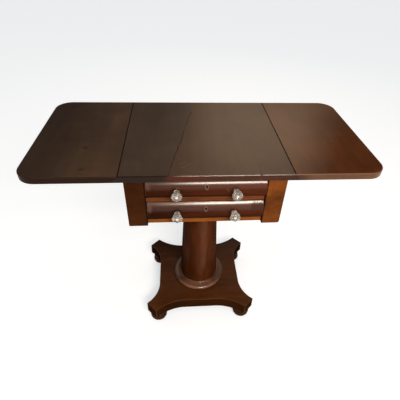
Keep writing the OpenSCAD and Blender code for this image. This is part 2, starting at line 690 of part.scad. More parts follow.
// A bun foot with a stepped neck under the platform
module foot() {
  color(base_wood) {
    rotate_extrude() {
      intersection() {
        square([foot_r + 1, foot_h]);
        union() {
          translate([0, foot_h - 6]) square([foot_r - 3, 6]);
          translate([0, foot_h - 9]) square([foot_r - 6, 4]);
          square([foot_r - 14, foot_h - 8]);
          translate([foot_r - 18, (foot_h - 8) / 2]) circle(18);
          translate([0, 0]) square([foot_r - 12, 6]);
        }
      }
    }
    translate([0, 0, foot_h - 1]) cylinder(h = foot_pin_len + 1 - 0.5, r = foot_pin_r);
  }
}
module front_left_foot() { translate([-foot_x, -foot_y, 0]) foot(); }
module front_right_foot() { translate([foot_x, -foot_y, 0]) foot(); }
module back_left_foot() { translate([-foot_x, foot_y, 0]) foot(); }
module back_right_foot() { translate([foot_x, foot_y, 0]) foot(); }

top_left_board();
top_middle_board();
top_right_board();
left_leaf();
right_leaf();
hinge_top_flaps();
left_hinge_leaf_flaps();
right_hinge_leaf_flaps();
hinge_pins();
hinge_top_screws();
left_leaf_screws();
right_leaf_screws();
top_screws();
left_pilaster();
right_pilaster();
back_left_post();
back_right_post();
left_side();
right_side();
back_panel();
top_rail();
middle_rail();
bottom_rail();
bottom_board();
runners();
kickers();
upper_guides();
lower_guides();
drawer_stops();
left_fly_bracket();
right_fly_bracket();
bracket_pins();
upper_drawer_front();
upper_drawer_left_side();
upper_drawer_right_side();
upper_drawer_back();
upper_drawer_bottom();
upper_knobs();
upper_knob_bolts();
upper_escutcheon();
upper_lock();
lower_drawer_front();
lower_drawer_left_side();
lower_drawer_right_side();
lower_drawer_back();
lower_drawer_bottom();
lower_knobs();
lower_knob_bolts();
lower_escutcheon();
lower_lock();
column();
column_ring();
column_screws();
platform();
front_left_foot();
front_right_foot();
back_left_foot();
back_right_foot();
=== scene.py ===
"""Drop-leaf work table: finishes, softened edges, glass knobs and the studio."""

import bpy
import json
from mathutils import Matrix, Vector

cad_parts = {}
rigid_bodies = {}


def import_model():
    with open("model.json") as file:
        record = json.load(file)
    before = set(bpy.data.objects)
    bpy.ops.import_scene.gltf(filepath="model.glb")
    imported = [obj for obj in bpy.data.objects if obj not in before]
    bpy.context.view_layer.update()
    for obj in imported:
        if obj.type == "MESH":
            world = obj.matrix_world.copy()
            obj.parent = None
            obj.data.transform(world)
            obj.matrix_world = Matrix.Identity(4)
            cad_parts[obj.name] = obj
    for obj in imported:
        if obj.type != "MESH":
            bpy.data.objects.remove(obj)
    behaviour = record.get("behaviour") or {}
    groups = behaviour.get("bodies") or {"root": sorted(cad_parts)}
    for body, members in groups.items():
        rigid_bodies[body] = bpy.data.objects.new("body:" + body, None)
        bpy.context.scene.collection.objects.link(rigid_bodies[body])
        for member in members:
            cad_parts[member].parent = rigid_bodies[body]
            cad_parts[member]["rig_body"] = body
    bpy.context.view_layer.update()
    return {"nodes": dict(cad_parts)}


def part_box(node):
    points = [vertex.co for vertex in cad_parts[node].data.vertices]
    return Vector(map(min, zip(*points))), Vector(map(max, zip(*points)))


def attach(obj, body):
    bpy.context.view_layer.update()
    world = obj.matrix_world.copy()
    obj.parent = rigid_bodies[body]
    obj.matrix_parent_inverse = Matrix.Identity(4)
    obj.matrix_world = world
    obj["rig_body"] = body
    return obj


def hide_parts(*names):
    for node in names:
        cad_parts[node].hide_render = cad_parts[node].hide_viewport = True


bl_info = {
    "name": "Drop-leaf work table",
    "version": (1, 0, 0),
    "blender": (4, 5, 0),
    "location": "3D View > Sidebar > Table",
    "description": "Finishes a drop-leaf work table and sets it in a plain studio",
    "category": "Object",
}

import json
import math
from functools import cached_property

import bpy
from mathutils import Matrix, Vector

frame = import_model()

TOP_BOARDS = ("top_left_board", "top_middle_board", "top_right_board")
LEAVES = ("left_leaf", "right_leaf")
FEET = ("front_left_foot", "front_right_foot", "back_left_foot", "back_right_foot")
DRAWERS = ("upper", "lower")
TABLE_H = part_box("top_middle_board")[1].z
PIN_LOW, PIN_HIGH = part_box("hinge_pins")
PIN_X = (PIN_HIGH.x - PIN_LOW.x - (PIN_HIGH.z - PIN_LOW.z)) / 2
# A point this close to a face lies on it
ON = 0.0002
# Where the short crack reaches the front edge of the top
SHORT_CRACK_X = 0.137
# Columns of points round each petal of a knob
PETAL_COLUMNS = 8


# Sizes, colours and gloss that a user would change


def length_prop(name, description, default, low, high):
    return bpy.props.FloatProperty(
        name=name, description=description, default=default, min=low, max=high, unit="LENGTH"
    )


def level_prop(name, description, default, high, **kind):
    return bpy.props.FloatProperty(
        name=name, description=description, default=default, min=0, max=high, **kind
    )


def colour_prop(name, default):
    return bpy.props.FloatVectorProperty(
        name=name, description="Colour of the " + name.lower(), subtype="COLOR", default=default, min=0, max=1
    )


class TableSizes(bpy.types.PropertyGroup):
    top_arris: length_prop("Top arris", "Radius worn on the upper edge of the top", 0.0024, 0.001, 0.008)
    case_arris: length_prop("Case arris", "Radius worn on the edges of the case", 0.0013, 0.0003, 0.003)
    inner_arris: length_prop("Inner arris", "Radius on the edges of the inside pieces", 0.0006, 0.0002, 0.002)
    platform_arris: length_prop("Platform arris", "Radius worn on the platform edges", 0.0024, 0.0005, 0.005)
    petals: bpy.props.IntProperty(
        name="Knob petals", description="Petals pressed round a glass knob", default=8, min=6, max=12
    )


class TableFinish(bpy.types.PropertyGroup):
    top_colour: colour_prop("Top", (0.056, 0.028, 0.013))
    leaf_colour: colour_prop("Right leaf", (0.088, 0.027, 0.006))
    front_colour: colour_prop("Drawer fronts", (0.075, 0.018, 0.006))
    rail_colour: colour_prop("Rails", (0.175, 0.056, 0.019))
    pilaster_colour: colour_prop("Pilasters", (0.235, 0.066, 0.011))
    column_colour: colour_prop("Column", (0.11, 0.03, 0.008))
    base_colour: colour_prop("Platform and feet", (0.069, 0.022, 0.006))
    inner_colour: colour_prop("Bare inside wood", (0.33, 0.19, 0.09))
    gloss: level_prop("Polish", "How strongly the polish shines", 0.2, 1, subtype="FACTOR")


class StudioSettings(bpy.types.PropertyGroup):
    key_power: level_prop("Front light", "Power of the narrow light in front", 42.0, 200, unit="POWER")
    fill_power: level_prop("High light", "Power of the light above the front", 13.0, 200, unit="POWER")
    back_power: level_prop("Back light", "Power of the light behind the table", 10.0, 200, unit="POWER")
    overhead: level_prop("Overhead light", "Level of the room's light from overhead", 1.0, 3)
    surround: level_prop("Wall light", "Level of the light from the room's walls", 0.06, 2)


# Helpers


def only(piece):
    """Selects this piece and nothing else."""
    bpy.ops.object.select_all(action="DESELECT")
    piece.select_set(True)
    bpy.context.view_layer.objects.active = piece


def edit(piece):
    only(piece)
    bpy.ops.object.mode_set(mode="EDIT")
    bpy.ops.mesh.select_mode(type="VERT")
    bpy.ops.mesh.select_all(action="DESELECT")


def done():
    bpy.ops.object.mode_set(mode="OBJECT")


def select_all():
    bpy.ops.mesh.select_all(action="SELECT")


def unselect(mesh):
    for parts in (mesh.vertices, mesh.edges, mesh.polygons):
        parts.foreach_set("select", [False] * len(parts))


def pick_edges(piece, wanted):
    """In edit mode, selects the sharp edges whose two ends and two face normals the test accepts."""
    bpy.ops.mesh.select_mode(type="EDGE")
    done()
    mesh = piece.data
    normals = {}
    for face in mesh.polygons:
        for key in face.edge_keys:
            normals.setdefault(key, []).append(face.normal.copy())
    unselect(mesh)
    count = 0
    for edge in mesh.edges:
        near = normals.get(tuple(sorted(edge.vertices)), [])
        sharp = len(near) == 2 and near[0].angle(near[1], 0) > math.radians(25)
        a, b = (mesh.vertices[i].co for i in edge.vertices)
        edge.select = bool(sharp and wanted(a, b, near))
        count += edge.select
    bpy.ops.object.mode_set(mode="EDIT")
    return count


def bevel(width, segments, material):
    bpy.ops.mesh.bevel(
        offset_type="OFFSET", offset=width, segments=segments, profile=0.5, affect="EDGES",
        clamp_overlap=True, material=material,
    )


def copy_of(node, name):
    """A merged copy of a CAD node, with the triangles on its flat faces joined."""
    mesh = frame["nodes"][node].data.copy()
    piece = bpy.data.objects.new(name, mesh)
    mesh.name = name
    mesh.materials.clear()
    bpy.context.scene.collection.objects.link(piece)
    edit(piece)
    select_all()
    bpy.ops.mesh.remove_doubles(threshold=0.000002)
    bpy.ops.mesh.customdata_custom_splitnormals_clear()
    bpy.ops.mesh.mark_sharp(clear=True)
    bpy.ops.mesh.dissolve_limited(angle_limit=math.radians(0.5))
    bpy.ops.mesh.select_all(action="DESELECT")
    done()
    return piece


def smooth(piece, angle, flat_faces=False):
    """Smooth shading up to an angle. Large flat faces beside rounded edges can be kept flat."""
    only(piece)
    bpy.ops.object.shade_smooth_by_angle(angle=math.radians(angle))
    if flat_faces:
        modifier = piece.modifiers.new("Flat faces", "WEIGHTED_NORMAL")
        modifier.keep_sharp = True
        modifier.weight = 100
        bpy.ops.object.modifier_apply(modifier=modifier.name)


def finish_piece(piece, node, key=None):
    """Makes a piece ride with a CAD node and stand for it, and gives it a material where it has none yet."""
    if key:
        piece.data.materials.append(MATERIALS[key])
    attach(piece, frame["nodes"][node]["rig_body"])
    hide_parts(node)
    return piece


def soften(node, width, segments, face_key, edge_key=None, angle=40, rounds=()):
    """A copy of a node whose sharp edges are all rounded, the rounds in the worn finish."""
    piece = copy_of(node, node + "_worn")
    for key in (face_key, edge_key or face_key):
        piece.data.materials.append(MATERIALS[key])
    for wanted, radius in rounds:
        edit(piece)
        if not pick_edges(piece, wanted):
            raise RuntimeError(f"no edge to round was found on {node}")
        bevel(radius, 6, 1)
        done()
    only(piece)
    modifier = piece.modifiers.new("Worn edges", "BEVEL")
    modifier.width = width
    modifier.segments = segments
    modifier.limit_method = "ANGLE"
    modifier.angle_limit = math.radians(angle)
    modifier.material = 1
    bpy.ops.object.modifier_apply(modifier=modifier.name)
    smooth(piece, 35, flat_faces=True)
    return finish_piece(piece, node)


def turned(name, profile, steps):
    """A turned solid: a point is extruded along its profile of (radius, height) and spun about Z."""
    bpy.ops.object.select_all(action="DESELECT")
    bpy.ops.mesh.primitive_plane_add(size=0.01, location=(0, 0, 0))
    piece = bpy.context.active_object
    piece.name = piece.data.name = name
    bpy.ops.object.mode_set(mode="EDIT")
    bpy.ops.mesh.merge(type="CENTER")
    select_all()
    here = profile[0]
    bpy.ops.transform.translate(value=(here[0], 0, here[1]))
    for there in profile[1:]:
        step = (there[0] - here[0], 0, there[1] - here[1])
        bpy.ops.mesh.extrude_region_move(TRANSFORM_OT_translate={"value": step})
        here = there
    select_all()
    bpy.ops.mesh.spin(steps=steps, angle=math.tau, center=(0, 0, 0), axis=(0, 0, 1))
    select_all()
    bpy.ops.mesh.remove_doubles(threshold=0.00001)
    select_all()
    bpy.ops.mesh.normals_make_consistent(inside=False)
    done()
    return piece


def turned_piece(name, profile, steps, node, key, centre=(0, 0, 0)):
    """A turned solid that stands for a node."""
    piece = turned(name, profile, steps)
    piece.data.transform(Matrix.Translation(centre))
    smooth(piece, 40)
    finish_piece(piece, node, key)


# Materials


class Nodes:
    """Short ways to add nodes to a material or a world."""

    def __init__(self, owner, output):
        owner.use_nodes = True
        self.tree = owner.node_tree
        self.tree.nodes.clear()
        self.out = self.add(output)

    def put(self, value, socket):
        """Links what varies from place to place, and sets a plain number or colour on the socket itself."""
        if isinstance(value, bpy.types.NodeSocket):
            self.tree.links.new(value, socket)
        elif socket.type == "RGBA":
            socket.default_value = (*value[:3], 1)
        else:
            socket.default_value = value

    def add(self, kind, **settings):
        node = self.tree.nodes.new(kind)
        for key, value in settings.items():
            if key in node.inputs:
                self.put(value, node.inputs[key])
            else:
                setattr(node, key, value)
        return node

    def mapped(self, where, scale=(1, 1, 1), turn=(0, 0, 0), move=(0, 0, 0)):
        node = self.add("ShaderNodeMapping", Vector=where, Scale=scale, Rotation=turn, Location=move)
        return node.outputs[0]

    def place(self, **change):
        return self.mapped(self.add("ShaderNodeTexCoord").outputs["Object"], **change)

    @cached_property
    def here(self):
        return self.place()

    @cached_property
    def xyz(self):
        return tuple(self.add("ShaderNodeSeparateXYZ", Vector=self.here).outputs)

    def noise(self, scale, detail=4.0, roughness=0.55, distortion=0.0, where=None):
        return self.add(
            "ShaderNodeTexNoise", Vector=self.here if where is None else where, Scale=scale, Detail=detail,
            Roughness=roughness, Distortion=distortion,
        ).outputs["Fac"]

    def ramp(self, factor, *stops):
        """A ramp through stops, each a position with a colour or a grey level."""
        node = self.add("ShaderNodeValToRGB", Fac=factor)
        elements = node.color_ramp.elements
        while len(elements) < len(stops):
            elements.new(0.5)
        for element, (at, shade) in zip(elements, stops):
            element.position = at
            element.color = (*shade, 1) if isinstance(shade, (tuple, list)) else (shade, shade, shade, 1)
        return node.outputs["Color"]

    def span(self, value, start, end, low=0.0, high=1.0):
        """Carries a value that goes from start to end over to low and high, and holds it beyond them."""
        ends = {"From Min": start, "From Max": end, "To Min": low, "To Max": high}
        return self.add("ShaderNodeMapRange", Value=value, **ends).outputs[0]

    def mix(self, factor, a, b, blend="MIX"):
        node = self.add("ShaderNodeMix", data_type="RGBA", blend_type=blend)
        for at, value in ((0, factor), (6, a), (7, b)):
            self.put(value, node.inputs[at])
        return node.outputs[2]

    def math(self, operation, *values):
        node = self.add("ShaderNodeMath", operation=operation)
        for socket, value in zip(node.inputs, values):
            self.put(value, socket)
        return node.outputs[0]

    def plus(self, a, b):
        return self.math("ADD", a, b)

    def minus(self, a, b):
        return self.math("SUBTRACT", a, b)

    def times(self, a, b):
        return self.math("MULTIPLY", a, b)

    def most(self, a, b):
        return self.math("MAXIMUM", a, b)

    def size(self, a):
        return self.math("ABSOLUTE", a)

    def wobble(self, width, *noise, where=None):
        """Noise that strays by up to half a width to either side of 0."""
        return self.times(self.minus(self.noise(*noise, where=where), 0.5), width)

    def bump(self, height, strength, distance, **under):
        node = self.add("ShaderNodeBump", Height=height, Strength=strength, Distance=distance, **under)
        return node.outputs[0]


class Finish(Nodes):
    """A new material round a principled shader. Its colour, roughness, height and polish build up here."""

    def __init__(self, name):
        self.material = bpy.data.materials.new(name)
        super().__init__(self.material, "ShaderNodeOutputMaterial")
        self.shader = self.add("ShaderNodeBsdfPrincipled")
        self.put(self.shader.outputs[0], self.out.inputs["Surface"])

    def shade(self, factor):
        """Multiplies the colour."""
        self.base = self.mix(1.0, self.base, factor, "MULTIPLY")

    def tint(self, other, mask, strength):
        """Lets another colour show where the mask is up, as far as its strength."""
        self.base = self.mix(self.times(mask, strength), self.base, other)

    def roughen(self, mask, strength):
        self.rough = self.plus(self.rough, self.times(mask, strength))

    def dull(self, mask):
        """Takes the polish away where the mask is up."""
        self.coat = self.times(self.minus(1.0, mask), self.coat)

    def made(self, **inputs):
        """Sets the shader's inputs, named with _ for each space, and gives the material."""
        for name, value in inputs.items():
            self.put(value, self.shader.inputs[name.replace("_", " ")])
        return self.material


def tone(shade, factor):
    return tuple(min(1.0, c * factor) for c in shade)


def stretched(grain, along, across):
    return tuple(along if axis == grain else across for axis in "XYZ")


def right_of(n, start, end, wander):
    """How far a place on the top lies to the right of an irregular line from one (x, y) to another."""
    x, y, _ = n.xyz
    slope = (end[0] - start[0]) / (end[1] - start[1])
    path = n.plus(n.times(n.minus(y, start[1]), slope), start[0])
    return n.minus(x, n.plus(path, n.wobble(wander, 26.0, 4.0, 0.6, where=n.place(scale=(0.2, 1, 1)))))


def side_mask(n, start, end, wander, soft):
    """0 to the left of an irregular line on the top and 1 to its right."""
    return n.span(right_of(n, start, end, wander), -soft, soft)


def line_mask(n, start, end, width, wander, fade):
    """A thin irregular line on the top from one (x, y) to another, stronger in some places than in others."""
    near = n.span(n.size(right_of(n, start, end, wander)), width * 0.35, width, 1.0, 0.0)
    y = n.xyz[1]
    low, high = sorted((start[1], end[1]))
    inside = n.times(n.math("GREATER_THAN", y, low), n.math("LESS_THAN", y, high))
    clouds = n.noise(13.0, 2.0, 0.5, where=n.place(move=(0, 0.03, 0)))
    return n.times(n.times(near, inside), n.ramp(clouds, (fade - 0.12, 0.12), (fade + 0.12, 1.0)))


def patch_mask(n, xs, zs, soft):
    """1 on a patch of a drawer front between two x and two z, and 0 past its soft, ragged border."""
    ragged = n.wobble(soft * 2, 90.0, 3.0, 0.6)
    x, _, z = n.xyz

    def between(place, low, high):
        here = n.plus(place, ragged)
        return n.times(n.span(here, low - soft, low + soft), n.span(here, high + soft, high - soft))

    return n.times(between(x, *xs), between(z, *zs))


def spot(n, here, place, outside, inside, squash=1.0, ragged=0.0):
    """1 nearer than a distance to a place on a face and 0 outside another; the first axis is squashed."""
    across = n.math("POWER", n.times(n.minus(here[0], place[0]), squash), 2.0)
    along = n.math("POWER", n.minus(here[1], place[1]), 2.0)
    return n.span(n.plus(n.math("SQRT", n.plus(across, along)), ragged), outside, inside)


def polished_wood(
    name, colour, grain, seed, wear, streak, figure, gloss, roughness, pores, shine, cloud=(30.0, 12.0),
    turn=(0, 0, 0), patches=0.2, marks=None, coat_ior=1.5, coat_roughness=0.22,
):
    """Mahogany under old polish: growth lines, cloudy figure, fine pores, dull patches and rubbed places."""
    n = Finish(name)
    drift = n.place(move=(seed, seed * 0.6, seed * 0.2))
    warp = n.add("ShaderNodeTexNoise", Vector=drift, Scale=4.0, Detail=2.0)
    straight = n.place(move=(seed, seed * 0.7, seed * 0.3))
    bent = n.add("ShaderNodeVectorMath", operation="MULTIPLY_ADD")
    for socket, value in zip(bent.inputs, (warp.outputs["Color"], stretched(grain, 0.0, 0.03), straight)):
        n.put(value, socket)

    def lines(along, across, *noise):
        return n.noise(1.0, *noise, where=n.mapped(bent.outputs[0], scale=stretched(grain, along, across)))

    broad = lines(2.2, 42.0, 5.0, 0.62, 0.3)
    fine = lines(14.0, 420.0, 3.0, 0.6)
    vessel = lines(55.0, 1500.0, 1.0, 0.5)
    curl = n.mapped(
        n.place(move=(seed * 0.31, seed * 0.17, seed * 0.23)), scale=stretched(grain, *cloud), turn=turn
    )
    mottle = n.noise(1.0, 4.0, 0.5, 1.2, where=curl)
    patch = n.noise(5.5, 3.0, 0.5, 0.4, where=n.place(move=(seed * 0.5, 0.0, seed)))
    rub = n.noise(24.0, 7.0, 0.7, 0.3, where=n.place(move=(seed, 2.0, 1.0)))
    grit = n.noise(210.0, 2.0, 0.5, where=n.place(move=(seed, 1.0, 3.0)))
    clouds = n.noise(11.0, 6.0, 0.62, 0.3, where=n.place(move=(3.0, seed, 0.5)))
    pore = n.ramp(vessel, (0.3, 1.0), (0.37, 0.0))
    rubbed = n.ramp(rub, (0.57, 0.0), (0.7, 1.0))

    n.base = n.ramp(broad, (0.3, tone(colour, 1 - streak)), (0.5, colour), (0.72, tone(colour, 1 + streak)))
    n.shade(n.ramp(mottle, (0.28, 1 - figure), (0.5, 1 - figure * 0.25), (0.72, 1.0)))
    n.tint(tone(colour, 1.75), n.ramp(mottle, (0.48, 0.0), (0.74, 1.0)), figure * 0.55)
    n.shade(n.ramp(patch, (0.34, 1 - patches), (0.66, 1.0)))
    n.tint(tone(colour, 0.45), n.ramp(fine, (0.4, 1.0), (0.56, 0.0)), 0.22 * pores + 0.06)
    n.tint(tone(colour, 0.25), pore, 0.5 * pores)
    n.tint(tone(colour, 2.1), rubbed, wear)
    n.tint(tone(colour, 0.3), n.ramp(grit, (0.7, 0.0), (0.76, 1.0)), 0.35 * wear + 0.05)
    n.rough = n.plus(roughness - 0.09, n.times(clouds, 0.18))
    n.roughen(pore, 0.2)
    n.roughen(rubbed, 0.25 * wear)
    n.height = n.minus(n.times(fine, 0.25), n.times(pore, 0.5 * pores))
    n.coat = gloss
    if marks:
        marks(n)
    uneven = n.bump(n.noise(22.0, 2.0, 0.5), 0.06, 0.002)
    return n.made(
        Base_Color=n.base, Roughness=n.rough, Specular_IOR_Level=shine, Coat_Weight=n.coat, Coat_IOR=coat_ior,
        Coat_Roughness=coat_roughness, Normal=n.bump(n.height, 0.16, 0.00035, Normal=uneven),
    )


# The marks of each wood, with painted light and shade on some, added to its finish


def joint_dirt(n):
    """Old wax and dirt in a ragged line beside each rule joint; gives where it lies."""
    away = n.size(n.minus(n.size(n.xyz[0]), PIN_X))
    dirt = n.span(n.plus(away, n.times(n.noise(130.0, 4.0, 0.65), 0.0022)), 0.0034, 0.0022)
    n.tint((0.01, 0.006, 0.004), dirt, 0.92)
    n.roughen(dirt, 0.35)
    return dirt


def left_leaf_marks(n):
    """The left leaf is darker and duller toward its end, with two small dark knocks."""
    inner = side_mask(n, (-0.35, -0.228), (-0.32, 0.228), 0.1, 0.075)
    n.shade(n.ramp(inner, (0.0, 0.72), (1.0, 1.55)))
    dull = n.most(n.times(n.minus(1.0, inner), 0.18), joint_dirt(n))
    x, y, _ = n.xyz
    ragged = n.wobble(0.012, 150.0, 4.0, 0.6)
    for place in ((-0.334, -0.085), (-0.323, -0.193)):
        knock = spot(n, (x, y), place, 0.008, 0.001, 0.7, ragged)
        n.tint((0.012, 0.006, 0.003), knock, 0.6)
        dull = n.most(dull, n.times(knock, 0.45))
    n.dull(dull)


def right_leaf_marks(n):
    """The right leaf is greyer next to the middle board and dark red and clear toward its end; the colour
    change is partly its own tone and partly the painted edge of a reflection.
    """
    outer = side_mask(n, (0.3, -0.2285), (0.43, 0.0018), 0.06, 0.022)
    # Redder past the slanting line: own tone and partly the painted edge of a reflection
    n.base = n.mix(outer, n.base, n.mix(1.0, n.base, (0.98, 0.84, 0.62), "MULTIPLY"))
    n.dull(n.most(n.times(outer, 0.42), joint_dirt(n)))


def right_leaf_edge_marks(n):
    """The right leaf's front edge is dark next to the joint."""
    n.shade(n.span(n.plus(n.xyz[0], n.wobble(0.03, 60.0, 4.0, 0.6)), 0.235, 0.285, 0.35))


def top_marks(n):
    """The long slanting crack, with the board's tone and painted sheen changing across it, the short one at
    the right, and a few knocks and scratches.
    """
    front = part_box("top_middle_board")[0].y
    start, end = (-0.1035, front), (-0.03, 0.15)
    # Cooler and greyer left of the long crack, warmer and lighter right of it: own tone and partly painted
    # sheen
    left, right = (n.mix(1.0, n.base, tint, "MULTIPLY") for tint in ((0.96, 1.08, 1.3), (1.14, 1.1, 1.06)))
    n.base = n.mix(side_mask(n, start, end, 0.016, 0.004), left, right)
    long_crack = line_mask(n, start, end, 0.0015, 0.016, 0.4)
    short_crack = line_mask(n, (SHORT_CRACK_X, front), (0.1412, -0.176), 0.0009, 0.004, 0.3)
    cracks = n.most(long_crack, short_crack)
    n.tint((0.01, 0.005, 0.003), cracks, 0.85)
    for nick in (((-0.074, -0.176), (-0.052, -0.158)), ((-0.071, -0.192), (-0.04, -0.168))):
        n.tint((0.21, 0.14, 0.09), line_mask(n, *nick, 0.0013, 0.004, 0.2), 0.5)
    scratch = n.noise(1.0, 1.0, 0.5, where=n.place(scale=(9, 260, 1), turn=(0, 0, 0.9)))
    area = n.ramp(n.noise(7.0, 2.0, 0.5), (0.52, 0.0), (0.6, 1.0))
    lines = n.times(n.ramp(scratch, (0.735, 0.0), (0.76, 1.0)), area)
    n.tint((0.16, 0.1, 0.06), lines, 0.3)
    n.roughen(n.most(cracks, lines), 0.25)
    n.height = n.minus(n.height, n.times(cracks, 3.0))
    n.dull(n.most(joint_dirt(n), n.times(cracks, 0.7)))


def column_painted_light_and_shade(n):
    """Painted light and shade on the column: darkest to the left of its front and lightest just right of the
    middle, where a band of extra polish lies.
    """
    drift = n.wobble(0.03, 12.0, 3.0, 0.5, where=n.place(scale=(1, 1, 0.4)))
    across = n.math("MULTIPLY_ADD", n.plus(n.xyz[0], drift), 6.0, 0.5)
    # Painted shade at the left and painted light just right of the middle
    n.shade(n.ramp(across, (0.12, 0.62), (0.36, 0.74), (0.56, 1.22), (0.8, 0.74)))
    n.coat = n.plus(n.coat, n.times(n.ramp(across, (0.44, 0.0), (0.56, 1.0), (0.66, 0.0)), 0.28))


def corner_painted_shade(n):
    """Painted shade in a ragged dark line on the edge of each pilaster next to the drawers, where the gap
    beside them is in shade.
    """
    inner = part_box("right_pilaster")[0].x
    ragged = n.times(n.noise(110.0, 4.0, 0.65), 0.0024)
    dirt = n.span(n.plus(n.size(n.xyz[0]), ragged), inner + 0.005, inner + 0.0032)
    # Painted shade along the gap beside the drawers
    n.tint((0.014, 0.006, 0.003), dirt, 0.88)
    n.roughen(dirt, 0.3)


def pilaster_marks(*levels):
    """A pilaster's veneer in slanting bands, each as light as its level says, from the foot up."""

    def marks(n):
        low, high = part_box("right_pilaster")
        x, _, z = n.xyz
        slant = n.times(n.minus((low.x + high.x) / 2, n.size(x)), 0.5)
        up = n.plus(n.plus(z, n.wobble(0.05, 26.0, 3.0, 0.5)), slant)
        bands = ((0.1 + 0.8 * k / (len(levels) - 1), light) for k, light in enumerate(levels))
        n.shade(n.ramp(n.span(up, low.z, high.z), *bands))
        corner_painted_shade(n)

    return marks


def platform_painted_shade_marks(n):
    """Painted shade on the platform: darkest at its back under the table and lightest at its front; its
    upright edges are dark and have lost their polish.
    """
    low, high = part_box("platform")
    _, y, z = n.xyz
    back = n.span(n.plus(y, n.wobble(0.1, 9.0, 3.0, 0.5)), low.y, high.y)
    # Painted shade: lighter at the front, darkest at the back under the table
    n.shade(n.ramp(back, (0.0, 1.5), (0.42, 1.1), (0.62, 0.9), (0.92, 0.4)))
    top = n.span(z, high.z - 0.004, high.z - 0.001)
    n.base = n.mix(top, n.mix(0.55, n.base, (0.008, 0.004, 0.002)), n.base)
    n.coat = n.times(top, n.coat)


def ring_painted_shade_marks(n):
    """The ring is pale at its front; painted shade darkens its sides and back, where its polish is also taken
    off.
    """
    behind = n.span(n.plus(n.xyz[1], n.wobble(0.03, 20.0, 3.0, 0.5)), -0.096, -0.052)
    # Painted shade on the ring's sides and back
    n.base = n.mix(behind, n.base, (0.066, 0.025, 0.011))
    n.dull(n.times(behind, 0.85))


def arris_marks(n):
    """The left of the top's front arris has lost its polish, and a notch breaks it at the short crack."""
    x = n.xyz[0]
    kept = n.span(n.plus(x, n.times(n.noise(70.0, 4.0, 0.65), 0.09)), -0.06, -0.01)
    n.base = n.mix(kept, (0.022, 0.011, 0.007), n.base)
    notch = n.span(n.size(n.minus(x, SHORT_CRACK_X)), 0.0036, 0.0018)
    n.tint((0.012, 0.006, 0.004), notch, 0.9)
    kept = n.times(kept, n.minus(1.0, notch))
    n.roughen(n.minus(1.0, kept), 0.4)
    n.coat = n.times(kept, n.coat)


def edge_marks(n):
    """The top's front edge is almost black at its left end, then red, then brown."""
    here = n.plus(n.xyz[0], n.wobble(0.12, 45.0, 5.0, 0.65))
    worn = n.mix(n.span(here, -0.135, -0.085), (0.016, 0.008, 0.005), (0.07, 0.014, 0.007))
    n.base = n.mix(n.span(here, -0.05, 0.02), worn, n.base)


def front_fade_and_painted_light(n, drawer):
    """Painted shade at a drawer front's left and by its knobs, a lighter top that is partly fading and partly
    a painted highlight, and a rubbed end.
    """
    low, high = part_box(drawer + "_drawer_front")
    x, _, z = n.xyz
    # Painted shade: darker toward the left, away from the light at the right
    n.shade(n.span(x, -0.15, 0.12, 0.55, 1.4))
    # Lighter along the top: partly fading, partly a painted highlight
    up = n.span(z, high.z - 0.45 * (high.z - low.z), high.z)
    clouds = n.ramp(n.noise(26.0, 4.0, 0.55, where=n.place(scale=(0.5, 1, 1.6))), (0.25, 0.55), (0.7, 1.0))
    n.tint((0.33, 0.2, 0.155), n.times(n.math("POWER", up, 1.5), clouds), 0.38)
    rubbed = patch_mask(n, (low.x + 0.002, low.x + 0.013), (low.z + 0.036, high.z - 0.006), 0.005)
    n.tint((0.24, 0.13, 0.095), rubbed, 0.3)
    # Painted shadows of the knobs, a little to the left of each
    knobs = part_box(drawer + "_knobs")
    r = (knobs[1].z - knobs[0].z) / 2
    for knob_x in (knobs[0].x + r, knobs[1].x - r):
        n.tint((0.012, 0.006, 0.003), spot(n, (x, z), (knob_x - 0.004, knobs[0].z + r), 0.019, 0.008), 0.6)
    polish = n.times(n.math("POWER", up, 0.8), n.span(x, -0.14, 0.0, 0.55, 0.97))
    n.coat = n.plus(n.coat, polish)


def chips(n, places, shade):
    """Small broken spots in a drawer front's veneer."""
    x, _, z = n.xyz
    ragged = n.wobble(0.004, 420.0, 3.0, 0.6)
    for place in places:
        chip = spot(n, (x, z), place, 0.0016, 0.0009, 0.6, ragged)
        n.tint(shade, chip, 0.8)
        n.roughen(chip, 0.25)
        n.height = n.minus(n.height, chip)


# Chips in the lower front, by their distance from its right end and from its upper edge
CHIPS = (
    (0.045, 0.004), (0.038, 0.0031), (0.034, 0.0052), (0.023, 0.0036), (0.016, 0.0047), (0.012, 0.003),
    (0.004, 0.0041),
)
RIB_PITCH = 0.0034


def lower_front_marks(n):
    """The patch of fine ribs at the right end of the lower drawer, and the chipped edge above it."""
    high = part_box("lower_drawer_front")[1]
    front_fade_and_painted_light(n, "lower")
    patch = patch_mask(n, (high.x - 0.036, high.x - 0.001), (high.z - 0.028, high.z - 0.004), 0.0012)
    wave = n.math("SINE", n.times(n.xyz[2], math.tau / RIB_PITCH))
    ribs = n.times(n.math("MULTIPLY_ADD", wave, 0.5, 0.5), patch)
    n.tint((0.046, 0.02, 0.012), patch, 0.75)
    n.tint((0.11, 0.05, 0.034), ribs, 0.3)
    n.height = n.plus(n.height, n.times(ribs, 1.6))
    n.roughen(patch, 0.1)
    n.dull(n.times(patch, 0.6))
    chips(n, [(high.x - back, high.z - down) for back, down in CHIPS], (0.42, 0.3, 0.24))


def upper_front_marks(n):
    """Small chips in the veneer beside the right knob."""
    front_fade_and_painted_light(n, "upper")
    chips(n, ((0.0572, 0.677), (0.0602, 0.6715)), (0.19, 0.1, 0.06))


